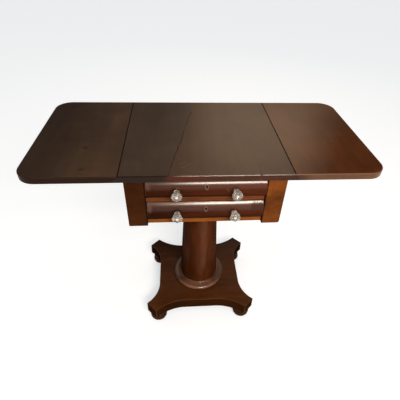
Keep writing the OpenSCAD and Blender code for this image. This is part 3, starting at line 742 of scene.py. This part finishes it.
def bare_wood(name, colour, grain, seed):
    """Unpolished inside wood: growth lines, darkened by age, dry and rough."""
    n = Finish(name)
    lines = n.place(scale=stretched(grain, 1.2, 60.0), move=(seed, seed, seed))
    rings = n.noise(1.0, 6.0, 0.62, 0.5, where=lines)
    fibre = n.noise(1.0, 2.0, 0.5, where=n.place(scale=stretched(grain, 20.0, 900.0)))
    stain = n.noise(8.0, 5.0, 0.62, 0.8, where=n.place(move=(seed, 0, 0)))
    n.base = n.ramp(rings, (0.3, tone(colour, 0.66)), (0.52, colour), (0.75, tone(colour, 1.22)))
    n.tint(tone(colour, 0.42), n.ramp(stain, (0.42, 0.0), (0.75, 1.0)), 0.5)
    n.tint(tone(colour, 0.6), fibre, 0.35)
    return n.made(
        Base_Color=n.base, Roughness=n.plus(0.6, n.times(stain, 0.2)), Specular_IOR_Level=0.3,
        Normal=n.bump(n.plus(rings, fibre), 0.25, 0.0005),
    )


def old_metal(name, colour, roughness, metallic, spots, spot_colour):
    """Aged metal with tarnish spots and a fine, uneven surface."""
    n = Finish(name)
    patch = n.noise(160.0, 5.0, 0.65, 0.6)
    n.base = colour
    n.tint(spot_colour, n.ramp(patch, (0.42, 0.0), (0.66, 1.0)), spots)
    return n.made(
        Base_Color=n.base, Metallic=metallic, Roughness=n.plus(roughness, n.times(patch, 0.25)),
        Normal=n.bump(patch, 0.2, 0.0003),
    )


def pressed_glass(name):
    """Pressed glass, faintly milky and warm, with ripples from its mould."""
    n = Finish(name)
    ripple = n.noise(150.0, 3.0, 0.5, 0.4)
    return n.made(
        Base_Color=n.mix(n.ramp(ripple, (0.35, 0.0), (0.7, 1.0)), (0.86, 0.8, 0.7), (0.98, 0.94, 0.86)),
        Transmission_Weight=0.85, IOR=1.52, Roughness=n.plus(0.01, n.times(ripple, 0.06)),
        Normal=n.bump(ripple, 0.3, 0.0006),
    )


def grime_and_painted_shade(name):
    """Dirt and old wax packed in the joints; on the walls of each keyhole the same finish is painted shade.
    """
    n = Finish(name)
    grit = n.noise(300.0, 4.0, 0.6)
    return n.made(
        Base_Color=n.ramp(grit, (0.35, (0.006, 0.003, 0.002)), (0.7, (0.022, 0.011, 0.006))),
        Specular_IOR_Level=0.1, Roughness=n.plus(0.7, n.times(grit, 0.2)), Normal=n.bump(grit, 0.3, 0.0003),
    )


MATERIALS = {}


def make_materials(finish):
    g = finish.gloss
    top, leaf, rail = tuple(finish.top_colour), tuple(finish.leaf_colour), tuple(finish.rail_colour)
    front, column, base = tuple(finish.front_colour), tuple(finish.column_colour), tuple(finish.base_colour)
    post, inside = tuple(finish.pilaster_colour), tuple(finish.inner_colour)
    m = MATERIALS

    def wood(key, name, colour, grain, style, seed, wear, **own):
        m[key] = polished_wood(name, colour, grain, seed, wear, **dict(style, **own))

    flat = dict(
        streak=0.14, figure=0.16, cloud=(7.0, 16.0), gloss=g * 3.9, roughness=0.45, shine=0.0, pores=0.4,
        patches=0.32, coat_roughness=0.37,
    )
    wood("top", "top_wood", top, "Y", flat, 4.1, 0.05, pores=0.5, marks=top_marks)
    wood("left leaf", "left_leaf_wood", tone(top, 0.8), "Y", flat, 11.3, 0.03, marks=left_leaf_marks)
    wood("right leaf", "right_leaf_wood", leaf, "Y", flat, 15.2, 0.04, gloss=g * 3.4, coat_roughness=0.31,
         marks=right_leaf_marks)
    edge = dict(streak=0.3, figure=0.15, gloss=g * 0.3, roughness=0.34, pores=0.7, shine=0.1)
    wood("top edge", "top_edge_wood", (0.062, 0.021, 0.01), "X", edge, 3.3, 0.25, marks=edge_marks)
    wood("left leaf edge", "left_leaf_edge_wood", (0.028, 0.012, 0.007), "X", edge, 3.9, 0.1, shine=0.02)
    wood("right leaf edge", "right_leaf_edge_wood", (0.175, 0.076, 0.032), "X", edge, 4.7, 0.25, shine=0.15,
         marks=right_leaf_edge_marks)
    # The top's arris is lighter than its edge: worn colour and partly a painted highlight along it
    wood("top arris", "top_arris_wood", (0.11, 0.06, 0.034), "X", edge, 3.5, 0.35, shine=0.0, coat_ior=1.75,
         gloss=g * 5, marks=arris_marks)
    wood("left leaf arris", "left_leaf_arris_wood", (0.034, 0.018, 0.011), "X", edge, 4.1, 0.1)
    wood("right leaf arris", "right_leaf_arris_wood", (0.17, 0.078, 0.036), "X", edge, 4.9, 0.3, shine=0.4)
    wood("underside", "underside_wood", (0.052, 0.024, 0.012), "Y", edge, 14.6, 0.12, figure=0.2,
         cloud=(7.0, 16.0), gloss=0.0, roughness=0.58, shine=0.08, pores=0.9)

    glossy = dict(
        streak=0.22, figure=0.25, gloss=g * 0.15, roughness=0.27, shine=0.0, pores=0.4, cloud=(9.0, 60.0),
        coat_ior=1.62,
    )
    wood("upper front", "upper_front_veneer", front, "X", glossy, 2.2, 0.05, marks=upper_front_marks)
    wood("lower front", "lower_front_veneer", tone(front, 0.9), "X", glossy, 7.2, 0.05,
         marks=lower_front_marks)
    wood("front edge", "worn_front_edge", tone(front, 1.5), "X", glossy, 2.9, 0.25, figure=0.2, pores=0.6)
    plain = dict(
        streak=0.2, figure=0.2, cloud=(14.0, 50.0), gloss=g * 0.4, roughness=0.32, shine=0.0, pores=0.5
    )
    wood("rail", "rail_veneer", rail, "X", plain, 5.5, 0.08, figure=0.3)
    wood("bottom rail", "bottom_rail_veneer", (0.3, 0.093, 0.014), "X", plain, 6.5, 0.08, figure=0.25,
         gloss=g * 0.15)
    wood("rail edge", "worn_rail_edge", tone(rail, 1.25), "X", plain, 6.1, 0.25)

    cloudy = dict(
        streak=0.12, figure=0.3, cloud=(34.0, 16.0), turn=(0.0, 0.75, 0.0), gloss=g * 0.4, roughness=0.3,
        shine=0.0, pores=0.35, marks=corner_painted_shade,
    )
    # The left pilaster and its edges are darker copies of the pilaster colour: painted shade, as the light
    # falls from the right
    wood("left pilaster", "left_pilaster_veneer_painted_shade", tone(post, 0.27), "Z", cloudy, 8.4, 0.05, figure=0.25,
         gloss=g * 0.3, marks=pilaster_marks(1.0, 0.93, 0.68, 0.84, 0.88))
    wood("right pilaster", "right_pilaster_veneer", post, "Z", cloudy, 9.6, 0.05, figure=0.4,
         marks=pilaster_marks(1.02, 0.9, 0.6, 1.22, 1.3))
    wood("left pilaster edge", "worn_left_pilaster_edge_painted_shade", tone(post, 0.36), "Z", cloudy, 9.1, 0.25)
    wood("right pilaster edge", "worn_right_pilaster_edge", tone(post, 1.1), "Z", cloudy, 9.9, 0.25)
    sides = dict(
        streak=0.3, figure=0.2, cloud=(8.0, 24.0), gloss=g * 0.6, roughness=0.36, shine=0.12, pores=0.8
    )
    wood("side", "side_wood", tone(post, 0.45), "Y", sides, 12.4, 0.1)
    wood("post", "back_post_wood", tone(post, 0.42), "Z", sides, 13.4, 0.1)
    wood("column", "column_veneer", column, "Z", sides, 6.8, 0.04, streak=0.16, figure=0.42,
         cloud=(8.0, 22.0), gloss=g * 0.2, roughness=0.24, shine=0.0, pores=0.35, patches=0.3,
         marks=column_painted_light_and_shade)

    low = dict(streak=0.26, figure=0.2, pores=0.5, shine=0.03, gloss=g * 0.3, roughness=0.32)
    wood("ring", "ring_wood", (0.275, 0.124, 0.068), "X", low, 3.8, 0.12, streak=0.2, gloss=g * 5,
         roughness=0.25, shine=0.3, marks=ring_painted_shade_marks)
    wood("base", "platform_veneer", base, "X", low, 10.2, 0.1, figure=0.26, cloud=(10.0, 26.0),
         gloss=g * 0.6, roughness=0.34, shine=0.0, pores=0.6, marks=platform_painted_shade_marks)
    wood("base edge", "worn_platform_edge", tone(base, 1.5), "X", low, 10.9, 0.35, gloss=g * 0.4,
         roughness=0.38, pores=0.7)
    wood("foot", "foot_wood", tone(base, 0.9), "Z", low, 13.0, 0.18)

    m["inside x"] = bare_wood("inside_wood_across", inside, "X", 1.0)
    m["inside y"] = bare_wood("inside_wood_along", inside, "Y", 2.0)
    m["inside edge"] = bare_wood("inside_wood_edge", tone(inside, 0.7), "Y", 3.0)
    # The joint grime also darkens the keyhole walls as painted shade
    m["grime"] = grime_and_painted_shade("joint_grime_and_keyhole_shade")
    m["glass"] = pressed_glass("pressed_glass")
    m["brass"] = old_metal("aged_brass", (0.27, 0.165, 0.11), 0.38, 1.0, 0.4, (0.05, 0.03, 0.02))
    # The lock is nearly black, painted shade that makes the keyholes look dark
    m["lock iron"] = old_metal("lock_iron", (0.03, 0.024, 0.02), 0.65, 0.5, 0.5, (0.012, 0.007, 0.004))
    m["iron"] = old_metal("hinge_iron", (0.12, 0.1, 0.085), 0.48, 0.85, 0.5, (0.09, 0.035, 0.015))
    m["steel"] = old_metal("aged_steel", (0.42, 0.4, 0.37), 0.3, 1.0, 0.4, (0.12, 0.06, 0.03))
    m["nickel"] = old_metal("knob_bolt_metal", (0.8, 0.76, 0.66), 0.22, 1.0, 0.15, (0.3, 0.24, 0.15))


# The pieces


FINISHES = {
    "knob_bolts": "nickel", "screws": "steel", "pins": "steel", "flaps": "iron", "lock": "iron",
    "knobs": "glass", "escutcheon": "brass", "upper_drawer_front": "upper front",
    "lower_drawer_front": "lower front", "drawer_back": "inside x", "drawer_bottom": "inside x",
    "drawer": "inside y", "left_pilaster": "left pilaster", "right_pilaster": "right pilaster",
    "left_leaf": "left leaf", "right_leaf": "right leaf", "bottom_rail": "bottom rail", "rail": "rail",
    "post": "post", "side": "side", "back_panel": "side", "column_ring": "ring", "column": "column",
    "platform": "base", "foot": "foot", "top_": "top",
}


def finish_of(node):
    """The finish of a CAD node, by the first word of the table that is in its name."""
    return next((key for word, key in FINISHES.items() if word in node), "inside y")


class TABLE_OT_finishes(bpy.types.Operator):
    """Makes the finishes and gives each CAD node its own"""

    bl_idname = "table.finishes"
    bl_label = "Finishes"

    def execute(self, context):
        make_materials(context.scene.table_finish)
        for name, node in frame["nodes"].items():
            node.data.materials.clear()
            node.data.materials.append(MATERIALS[finish_of(name)])
        return {"FINISHED"}


class TABLE_OT_top(bpy.types.Operator):
    """Rounds the worn edges of the top's boards and the leaves"""

    bl_idname = "table.top"
    bl_label = "Top and leaves"

    def execute(self, context):
        width = context.scene.table_sizes.top_arris
        low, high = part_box("right_leaf")
        end, depth = high.x, high.y
        # Radius of the round corners, and how far their flat facets may lie inside it
        corner, facet = 0.051, 0.0015

        def outer(p):
            """Whether a point lies on the outline of the whole top, with its round corners."""
            past_x, past_y = abs(p.x) - (end - corner), abs(p.y) - (depth - corner)
            on_corner = past_x > 0 and past_y > 0 and math.hypot(past_x, past_y) > corner - facet
            return abs(p.y) > depth - ON or abs(p.x) > end - ON or on_corner

        def outline(a, b):
            return outer(a) and outer(b) and outer((a + b) / 2)

        def upper(a, b, near):
            return min(a.z, b.z) > TABLE_H - ON and outline(a, b)

        def lower(a, b, near):
            return max(a.z, b.z) < low.z + ON and outline(a, b)

        def joint(a, b, near):
            return min(a.z, b.z) > TABLE_H - ON and all(abs(abs(p.x) - PIN_X) < 0.001 for p in (a, b))

        side, dirt, arris, under = 1, 2, 3, 4
        for node in TOP_BOARDS + LEAVES:
            finish = finish_of(node)
            piece = copy_of(node, node + "_worn")
            for key in (finish, finish + " edge", "grime", finish + " arris", "underside"):
                piece.data.materials.append(MATERIALS[key])
            for face in piece.data.polygons:
                if abs(face.normal.z) < 0.2 and outer(face.center):
                    face.material_index = side
                elif face.normal.z < -0.5:
                    face.material_index = under
            edit(piece)
            if not pick_edges(piece, upper):
                raise RuntimeError(f"no upper edge was found on {node}")
            bevel(width, 6, arris)
            if pick_edges(piece, lower):
                bevel(width * 0.6, 4, side)
            if pick_edges(piece, joint):
                bevel(0.0004, 2, dirt)
            done()
            smooth(piece, 38, flat_faces=True)
            finish_piece(piece, node)
        return {"FINISHED"}


class TABLE_OT_case(bpy.types.Operator):
    """Softens the edges of the pilasters, posts, sides, rails and back"""

    bl_idname = "table.case"
    bl_label = "Case"

    def execute(self, context):
        width = context.scene.table_sizes.case_arris
        for side, foot_round in (("left", 0.0035), ("right", 0.0065)):
            node = side + "_pilaster"
            low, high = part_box(node)
            outer = max(abs(low.x), abs(high.x)) - ON

            def foot(a, b, near):
                return max(a.z, b.z) < low.z + ON and min(abs(a.x), abs(b.x)) > outer

            def front(a, b, near):
                return max(a.y, b.y) < low.y + ON and abs(a.z - b.z) > 0.05

            key = side + " pilaster"
            rounds = ((foot, foot_round), (front, 0.0022))
            soften(node, width, 3, key, key + " edge", rounds=rounds)
            soften("back_" + side + "_post", width, 3, "post")
            soften(side + "_side", width * 0.6, 2, "side")
        soften("back_panel", width * 0.5, 2, "side")
        for rail, key in (("top_rail", "rail"), ("middle_rail", "rail"), ("bottom_rail", "bottom rail")):
            soften(rail, width * 0.7, 3, key, "rail edge")
        return {"FINISHED"}


class TABLE_OT_inside(bpy.types.Operator):
    """Softens the runners, guides, kickers, stops, bottom board and fly brackets"""

    bl_idname = "table.inside"
    bl_label = "Inside pieces"

    def execute(self, context):
        width = context.scene.table_sizes.inner_arris
        for node in ("runners", "kickers", "upper_guides", "lower_guides", "drawer_stops", "bottom_board"):
            soften(node, width, 2, "inside y", "inside edge")
        for side in ("left", "right"):
            soften(side + "_fly_bracket", width * 2, 3, "inside y", "inside edge")
        return {"FINISHED"}


def shade_keyhole_walls(piece, drawer):
    """Gives the walls of the keyhole through a piece the dark joint finish, as painted shade in the hole."""
    low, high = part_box(drawer + "_escutcheon")
    piece.data.materials.append(MATERIALS["grime"])
    for face in piece.data.polygons:
        x, _, z = face.center
        if low.x < x < high.x and low.z < z < high.z and abs(face.normal.y) < 0.3:
            face.material_index = len(piece.data.materials) - 1


class TABLE_OT_drawers(bpy.types.Operator):
    """Finishes the drawer fronts and boxes"""

    bl_idname = "table.drawers"
    bl_label = "Drawers"

    def execute(self, context):
        sizes = context.scene.table_sizes
        boards = {"left_side": "inside y", "right_side": "inside y", "back": "inside x", "bottom": "inside x"}
        for drawer in DRAWERS:
            body = drawer + "_drawer"
            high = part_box(body + "_front")[1]

            def ends(a, b, near):
                """The edges round each end of the swelled front."""
                ahead = min(a.y, b.y) < high.y - 0.001
                return ahead and min(abs(a.x), abs(b.x)) > high.x - ON and any(f.y < -0.2 for f in near)

            front = soften(
                body + "_front", sizes.case_arris * 0.5, 3, drawer + " front", "front edge",
                50, ((ends, 0.0016),),
            )
            shade_keyhole_walls(front, drawer)
            for board, wood in boards.items():
                soften(f"{body}_{board}", sizes.inner_arris, 2, wood, "inside edge")
        return {"FINISHED"}


def pick_columns(piece, petals, step, inner, low, high):
    """Selects the columns of a turned knob that lie a number of steps from the middle of a petal."""
    unselect(piece.data)
    for v in piece.data.vertices:
        turn = math.atan2(v.co.y, v.co.x) / math.tau
        column = round(turn * petals * PETAL_COLUMNS) % PETAL_COLUMNS
        away = min(column, PETAL_COLUMNS - column)
        v.select = away == step and math.hypot(v.co.x, v.co.y) > inner and low <= v.co.z <= high


class TABLE_OT_knobs(bpy.types.Operator):
    """Models one pressed-glass knob with petals round its head and copies it to the four places"""

    bl_idname = "table.knobs"
    bl_label = "Glass knobs"

    def execute(self, context):
        petals = context.scene.table_sizes.petals
        low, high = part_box("upper_knobs")
        r, reach = (high.z - low.z) / 2, high.y - low.y
        bore, well = 0.0026, reach - 0.002
        profile = [
            (bore, 0.0), (0.008, 0.0), (0.0085, 0.0007), (0.0082, 0.0022), (0.0075, 0.004),
            (0.0079, 0.006), (0.0093, 0.0086), (0.011, 0.0116), (0.0126, 0.0148), (0.0139, 0.0172),
            (0.0151, 0.0192), (r, 0.0206), (r, 0.0222), (r * 0.975, 0.0236), (r * 0.9, 0.0243),
            (r * 0.78, 0.024), (r * 0.68, 0.0232), (r * 0.62, 0.0236), (r * 0.57, 0.025),
            (r * 0.5, reach - 0.0002), (r * 0.42, reach - 0.0001), (r * 0.34, reach - 0.0007),
            (0.0046, reach - 0.0014), (0.0044, well),
            (bore, well), (bore, 0.0),
        ]
        knob = turned("glass_knob", profile, petals * PETAL_COLUMNS)
        # Between its petals the knob is drawn in: from a radius out, from one height to another, and how far
        cup, rim = (0.0088, 0.008, 0.018, 0.13), (0.012, 0.0181, 0.0245, 0.115)
        for step, share in ((1, 0.1), (2, 0.32), (3, 0.64), (4, 1.0)):
            for inner, bottom, top, depth in (cup, rim):
                pick_columns(knob, petals, step, inner, bottom, top)
                only(knob)
                bpy.ops.object.mode_set(mode="EDIT")
                bpy.ops.mesh.select_mode(type="VERT")
                scale = 1 - depth * share
                bpy.ops.transform.resize(value=(scale, scale, 1), center_override=(0, 0, 0))
                done()
        only(knob)
        modifier = knob.modifiers.new("Fire polish", "SUBSURF")
        modifier.levels = modifier.render_levels = 1
        bpy.ops.object.modifier_apply(modifier=modifier.name)
        knob.rotation_euler = (math.radians(90), 0, 0)
        bpy.ops.object.transform_apply(location=False, rotation=True, scale=False)
        for drawer in DRAWERS:
            low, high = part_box(drawer + "_knobs")
            for side, x in (("left", low.x + r), ("right", high.x - r)):
                only(knob)
                bpy.ops.object.duplicate(linked=False)
                copy = context.active_object
                copy.name = copy.data.name = f"{drawer}_{side}_knob"
                copy.location = (x, high.y, (low.z + high.z) / 2)
                bpy.ops.object.transform_apply(location=True, rotation=False, scale=False)
                smooth(copy, 26)
                finish_piece(copy, drawer + "_knobs", "glass")
            soften(drawer + "_knob_bolts", 0.0005, 3, "nickel", angle=50)
        bpy.data.objects.remove(knob)
        return {"FINISHED"}


def arc(x, z, radius, start, end, steps):
    """Points of a profile on part of a circle, between two angles in degrees."""
    angles = (math.radians(start + (end - start) * k / steps) for k in range(steps + 1))
    return [(x + radius * math.cos(a), z + radius * math.sin(a)) for a in angles]


class TABLE_OT_column(bpy.types.Operator):
    """Turns the tapered column and the ring under it"""

    bl_idname = "table.column"
    bl_label = "Column and ring"

    def execute(self, context):
        low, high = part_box("column_ring")
        seat, top, tenon = high.z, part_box("bottom_board")[0].z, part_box("column")[0].z
        foot_r, top_r, tenon_r, hole_r = 0.074, 0.0545, 0.022, 0.0221
        shaft = [(0.0, tenon), (tenon_r, tenon), (tenon_r, seat)]
        shaft += [(foot_r - 0.001, seat), (foot_r, seat + 0.001)]
        steps = 12
        for k in range(1, steps):
            shaft.append((foot_r + (top_r - foot_r) * k / steps, seat + (top - seat) * k / steps))
        shaft += [(top_r, top - 0.0006), (top_r - 0.0006, top), (0.0, top)]
        turned_piece("turned_column", shaft, 128, "column", "column")

        # The ring is a half-round moulding with a small bead on it, next to the column
        half = 0.0075
        step = low.z + half * 2
        bead = (seat - step) / 2
        inner = foot_r + 0.005 - bead
        outer = high.x - half
        profile = [(hole_r, low.z), *arc(outer, low.z + half, half, -90, 90, 12)]
        profile += [(outer - 0.0035, step - 0.0004), (inner + 0.0085, step - 0.0018)]
        profile += [(inner + 0.0045, step - 0.001), (inner + bead * 0.9, step)]
        profile += [*arc(inner, step + bead, bead, -60, 90, 8)[1:], (hole_r, seat), (hole_r, low.z)]
        turned_piece("turned_ring", profile, 128, "column_ring", "ring")
        return {"FINISHED"}


class TABLE_OT_base(bpy.types.Operator):
    """Softens the platform and turns the bun feet"""

    bl_idname = "table.base"
    bl_label = "Platform and feet"

    def execute(self, context):
        width = context.scene.table_sizes.platform_arris
        soften("platform", width, 4, "base", "base edge", 30)
        low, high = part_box(FEET[0])
        r, under = (high.x - low.x) / 2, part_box("platform")[0].z
        bun, pin_r = 0.018, 0.01
        profile = [(0.0, 0.0), (r - 0.0135, 0.0), *arc(r - bun, (under - 0.008) / 2, bun, -70.5, 72.9, 16)]
        neck, plate = under - 0.009, under - 0.006
        profile += [(r - 0.0068, neck), (r - 0.006, neck + 0.0008), (r - 0.006, plate), (r - 0.004, plate)]
        profile += [(r - 0.003, plate + 0.001), (r - 0.003, under)]
        profile += [(pin_r, under), (pin_r, high.z), (0.0, high.z)]
        for node in FEET:
            low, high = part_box(node)
            centre = ((low.x + high.x) / 2, (low.y + high.y) / 2, 0)
            turned_piece(node + "_turned", profile, 64, node, "foot", centre)
        return {"FINISHED"}


class TABLE_OT_metalwork(bpy.types.Operator):
    """Softens the hinge flaps, keyhole rims and locks"""

    bl_idname = "table.metalwork"
    bl_label = "Hinges, rims and locks"

    def execute(self, context):
        for node in ("hinge_top_flaps", "left_hinge_leaf_flaps", "right_hinge_leaf_flaps"):
            soften(node, 0.0002, 2, "iron", angle=50)
        for drawer in DRAWERS:
            rim = soften(drawer + "_escutcheon", 0.00025, 3, "brass", angle=50)
            shade_keyhole_walls(rim, drawer)
            soften(drawer + "_lock", 0.0005, 2, "lock iron", angle=50)
        return {"FINISHED"}


def pale_floor():
    """A matt floor that glows where the camera, the glass and the polish see it."""
    n = Finish("pale_floor")
    n.made(Base_Color=(0.62, 0.62, 0.62), Roughness=0.9, Specular_IOR_Level=0.1)
    plain, glow = n.shader.outputs[0], n.add("ShaderNodeEmission", Color=(0.93, 0.97, 1.0), Strength=0.58)
    both, choose = n.add("ShaderNodeAddShader"), n.add("ShaderNodeMixShader")
    rays = n.add("ShaderNodeLightPath").outputs
    seen = n.math("MAXIMUM", rays["Is Camera Ray"], rays["Is Transmission Ray"])
    seen = n.math("MAXIMUM", seen, rays["Is Glossy Ray"])
    for node, values in ((both, (plain, glow.outputs[0])), (choose, (seen, plain, both.outputs[0]))):
        for socket, value in zip(node.inputs, values):
            n.put(value, socket)
    n.put(choose.outputs[0], n.out.inputs["Surface"])
    return n.material


def soft_light(name, place, target, wide, high, power, shade):
    """A rectangular light at a place, turned to its target."""
    data = bpy.data.lights.new(name, "AREA")
    data.shape = "RECTANGLE"
    data.size, data.size_y = wide, high
    data.energy = power
    data.color = shade
    lamp = bpy.data.objects.new(name, data)
    bpy.context.scene.collection.objects.link(lamp)
    lamp.location = place
    lamp.rotation_euler = (Vector(target) - Vector(place)).to_track_quat("-Z", "Y").to_euler()


class TABLE_OT_stage(bpy.types.Operator):
    """Sets the floor, the room's light, three soft lights and the camera"""

    bl_idname = "table.stage"
    bl_label = "Studio"

    def execute(self, context):
        scene, studio = context.scene, context.scene.table_studio
        bpy.ops.object.select_all(action="DESELECT")
        bpy.ops.mesh.primitive_plane_add(size=60, location=(0, 0, 0))
        floor = context.active_object
        floor.name = "studio_floor"
        floor.data.materials.append(pale_floor())

        scene.world = bpy.data.worlds.new("studio_room")
        n = Nodes(scene.world, "ShaderNodeOutputWorld")
        way = n.add("ShaderNodeTexCoord").outputs["Generated"]
        up = n.add("ShaderNodeSeparateXYZ", Vector=way).outputs[2]
        wall, over = studio.surround, studio.overhead
        levels = ((0.0, 0.6), (0.08, 0.4), (0.16, wall), (0.66, wall), (0.86, over), (1.0, over))
        sky = n.ramp(up, *((at, (light, light * 0.985, light * 0.96)) for at, light in levels))
        n.put(n.add("ShaderNodeBackground", Color=sky).outputs[0], n.out.inputs["Surface"])

        key, fill, back = studio.key_power, studio.fill_power, studio.back_power
        soft_light("front_light", (0.42, -2.1, 2.0), (0.03, -0.2, 0.62), 0.95, 0.24, key, (1.0, 0.88, 0.76))
        soft_light("high_light", (0.5, -1.8, 2.25), (0, -0.2, 0.6), 0.9, 0.2, fill, (1.0, 0.93, 0.86))
        soft_light("back_light", (0.8, 2.5, 2.25), (0.05, 0, 0.74), 1.3, 0.9, back, (1.0, 0.74, 0.5))

        data = bpy.data.cameras.new("photo_camera")
        data.sensor_width = 36
        # The focal length and the width of the photograph, both in pixels
        data.lens = 339.64 / 400 * 36
        data.shift_x = -0.017
        data.clip_start = 0.02
        camera = bpy.data.objects.new("photo_camera", data)
        scene.collection.objects.link(camera)
        # Turned right, looking down and tilted, in radians
        yaw, pitch, roll = 0.1037, 0.6803, 0.0457
        turn = Matrix.Rotation(-yaw, 4, "Z") @ Matrix.Rotation(math.pi / 2 - pitch, 4, "X")
        stand = Matrix.Translation((-0.075, -0.9325, TABLE_H + 0.4936))
        camera.matrix_world = stand @ turn @ Matrix.Rotation(roll, 4, "Z")
        scene.camera = camera
        scene.view_settings.view_transform = "Standard"
        return {"FINISHED"}


class TABLE_PT_panel(bpy.types.Panel):
    """Lists the table's pieces and settings"""

    bl_label = "Work table"
    bl_idname = "TABLE_PT_panel"
    bl_space_type = "VIEW_3D"
    bl_region_type = "UI"
    bl_category = "Table"

    def draw(self, context):
        layout = self.layout
        for operator in OPERATORS:
            layout.operator(operator.bl_idname)
        for group in (context.scene.table_sizes, context.scene.table_finish, context.scene.table_studio):
            box = layout.box()
            for name in group.__annotations__:
                box.prop(group, name)


OPERATORS = (
    TABLE_OT_finishes, TABLE_OT_top, TABLE_OT_case, TABLE_OT_inside, TABLE_OT_drawers, TABLE_OT_knobs,
    TABLE_OT_column, TABLE_OT_base, TABLE_OT_metalwork, TABLE_OT_stage,
)
GROUPS = {"table_sizes": TableSizes, "table_finish": TableFinish, "table_studio": StudioSettings}


def register():
    for cls in (*GROUPS.values(), *OPERATORS, TABLE_PT_panel):
        bpy.utils.register_class(cls)
    for name, group in GROUPS.items():
        setattr(bpy.types.Scene, name, bpy.props.PointerProperty(type=group))


def unregister():
    for name in GROUPS:
        delattr(bpy.types.Scene, name)
    for cls in reversed((*GROUPS.values(), *OPERATORS, TABLE_PT_panel)):
        bpy.utils.unregister_class(cls)


def main():
    register()
    bpy.ops.table.finishes()
    bpy.ops.table.top()
    bpy.ops.table.case()
    bpy.ops.table.inside()
    bpy.ops.table.drawers()
    bpy.ops.table.knobs()
    bpy.ops.table.column()
    bpy.ops.table.base()
    bpy.ops.table.metalwork()
    bpy.ops.table.stage()


if __name__ == "__main__":
    main()
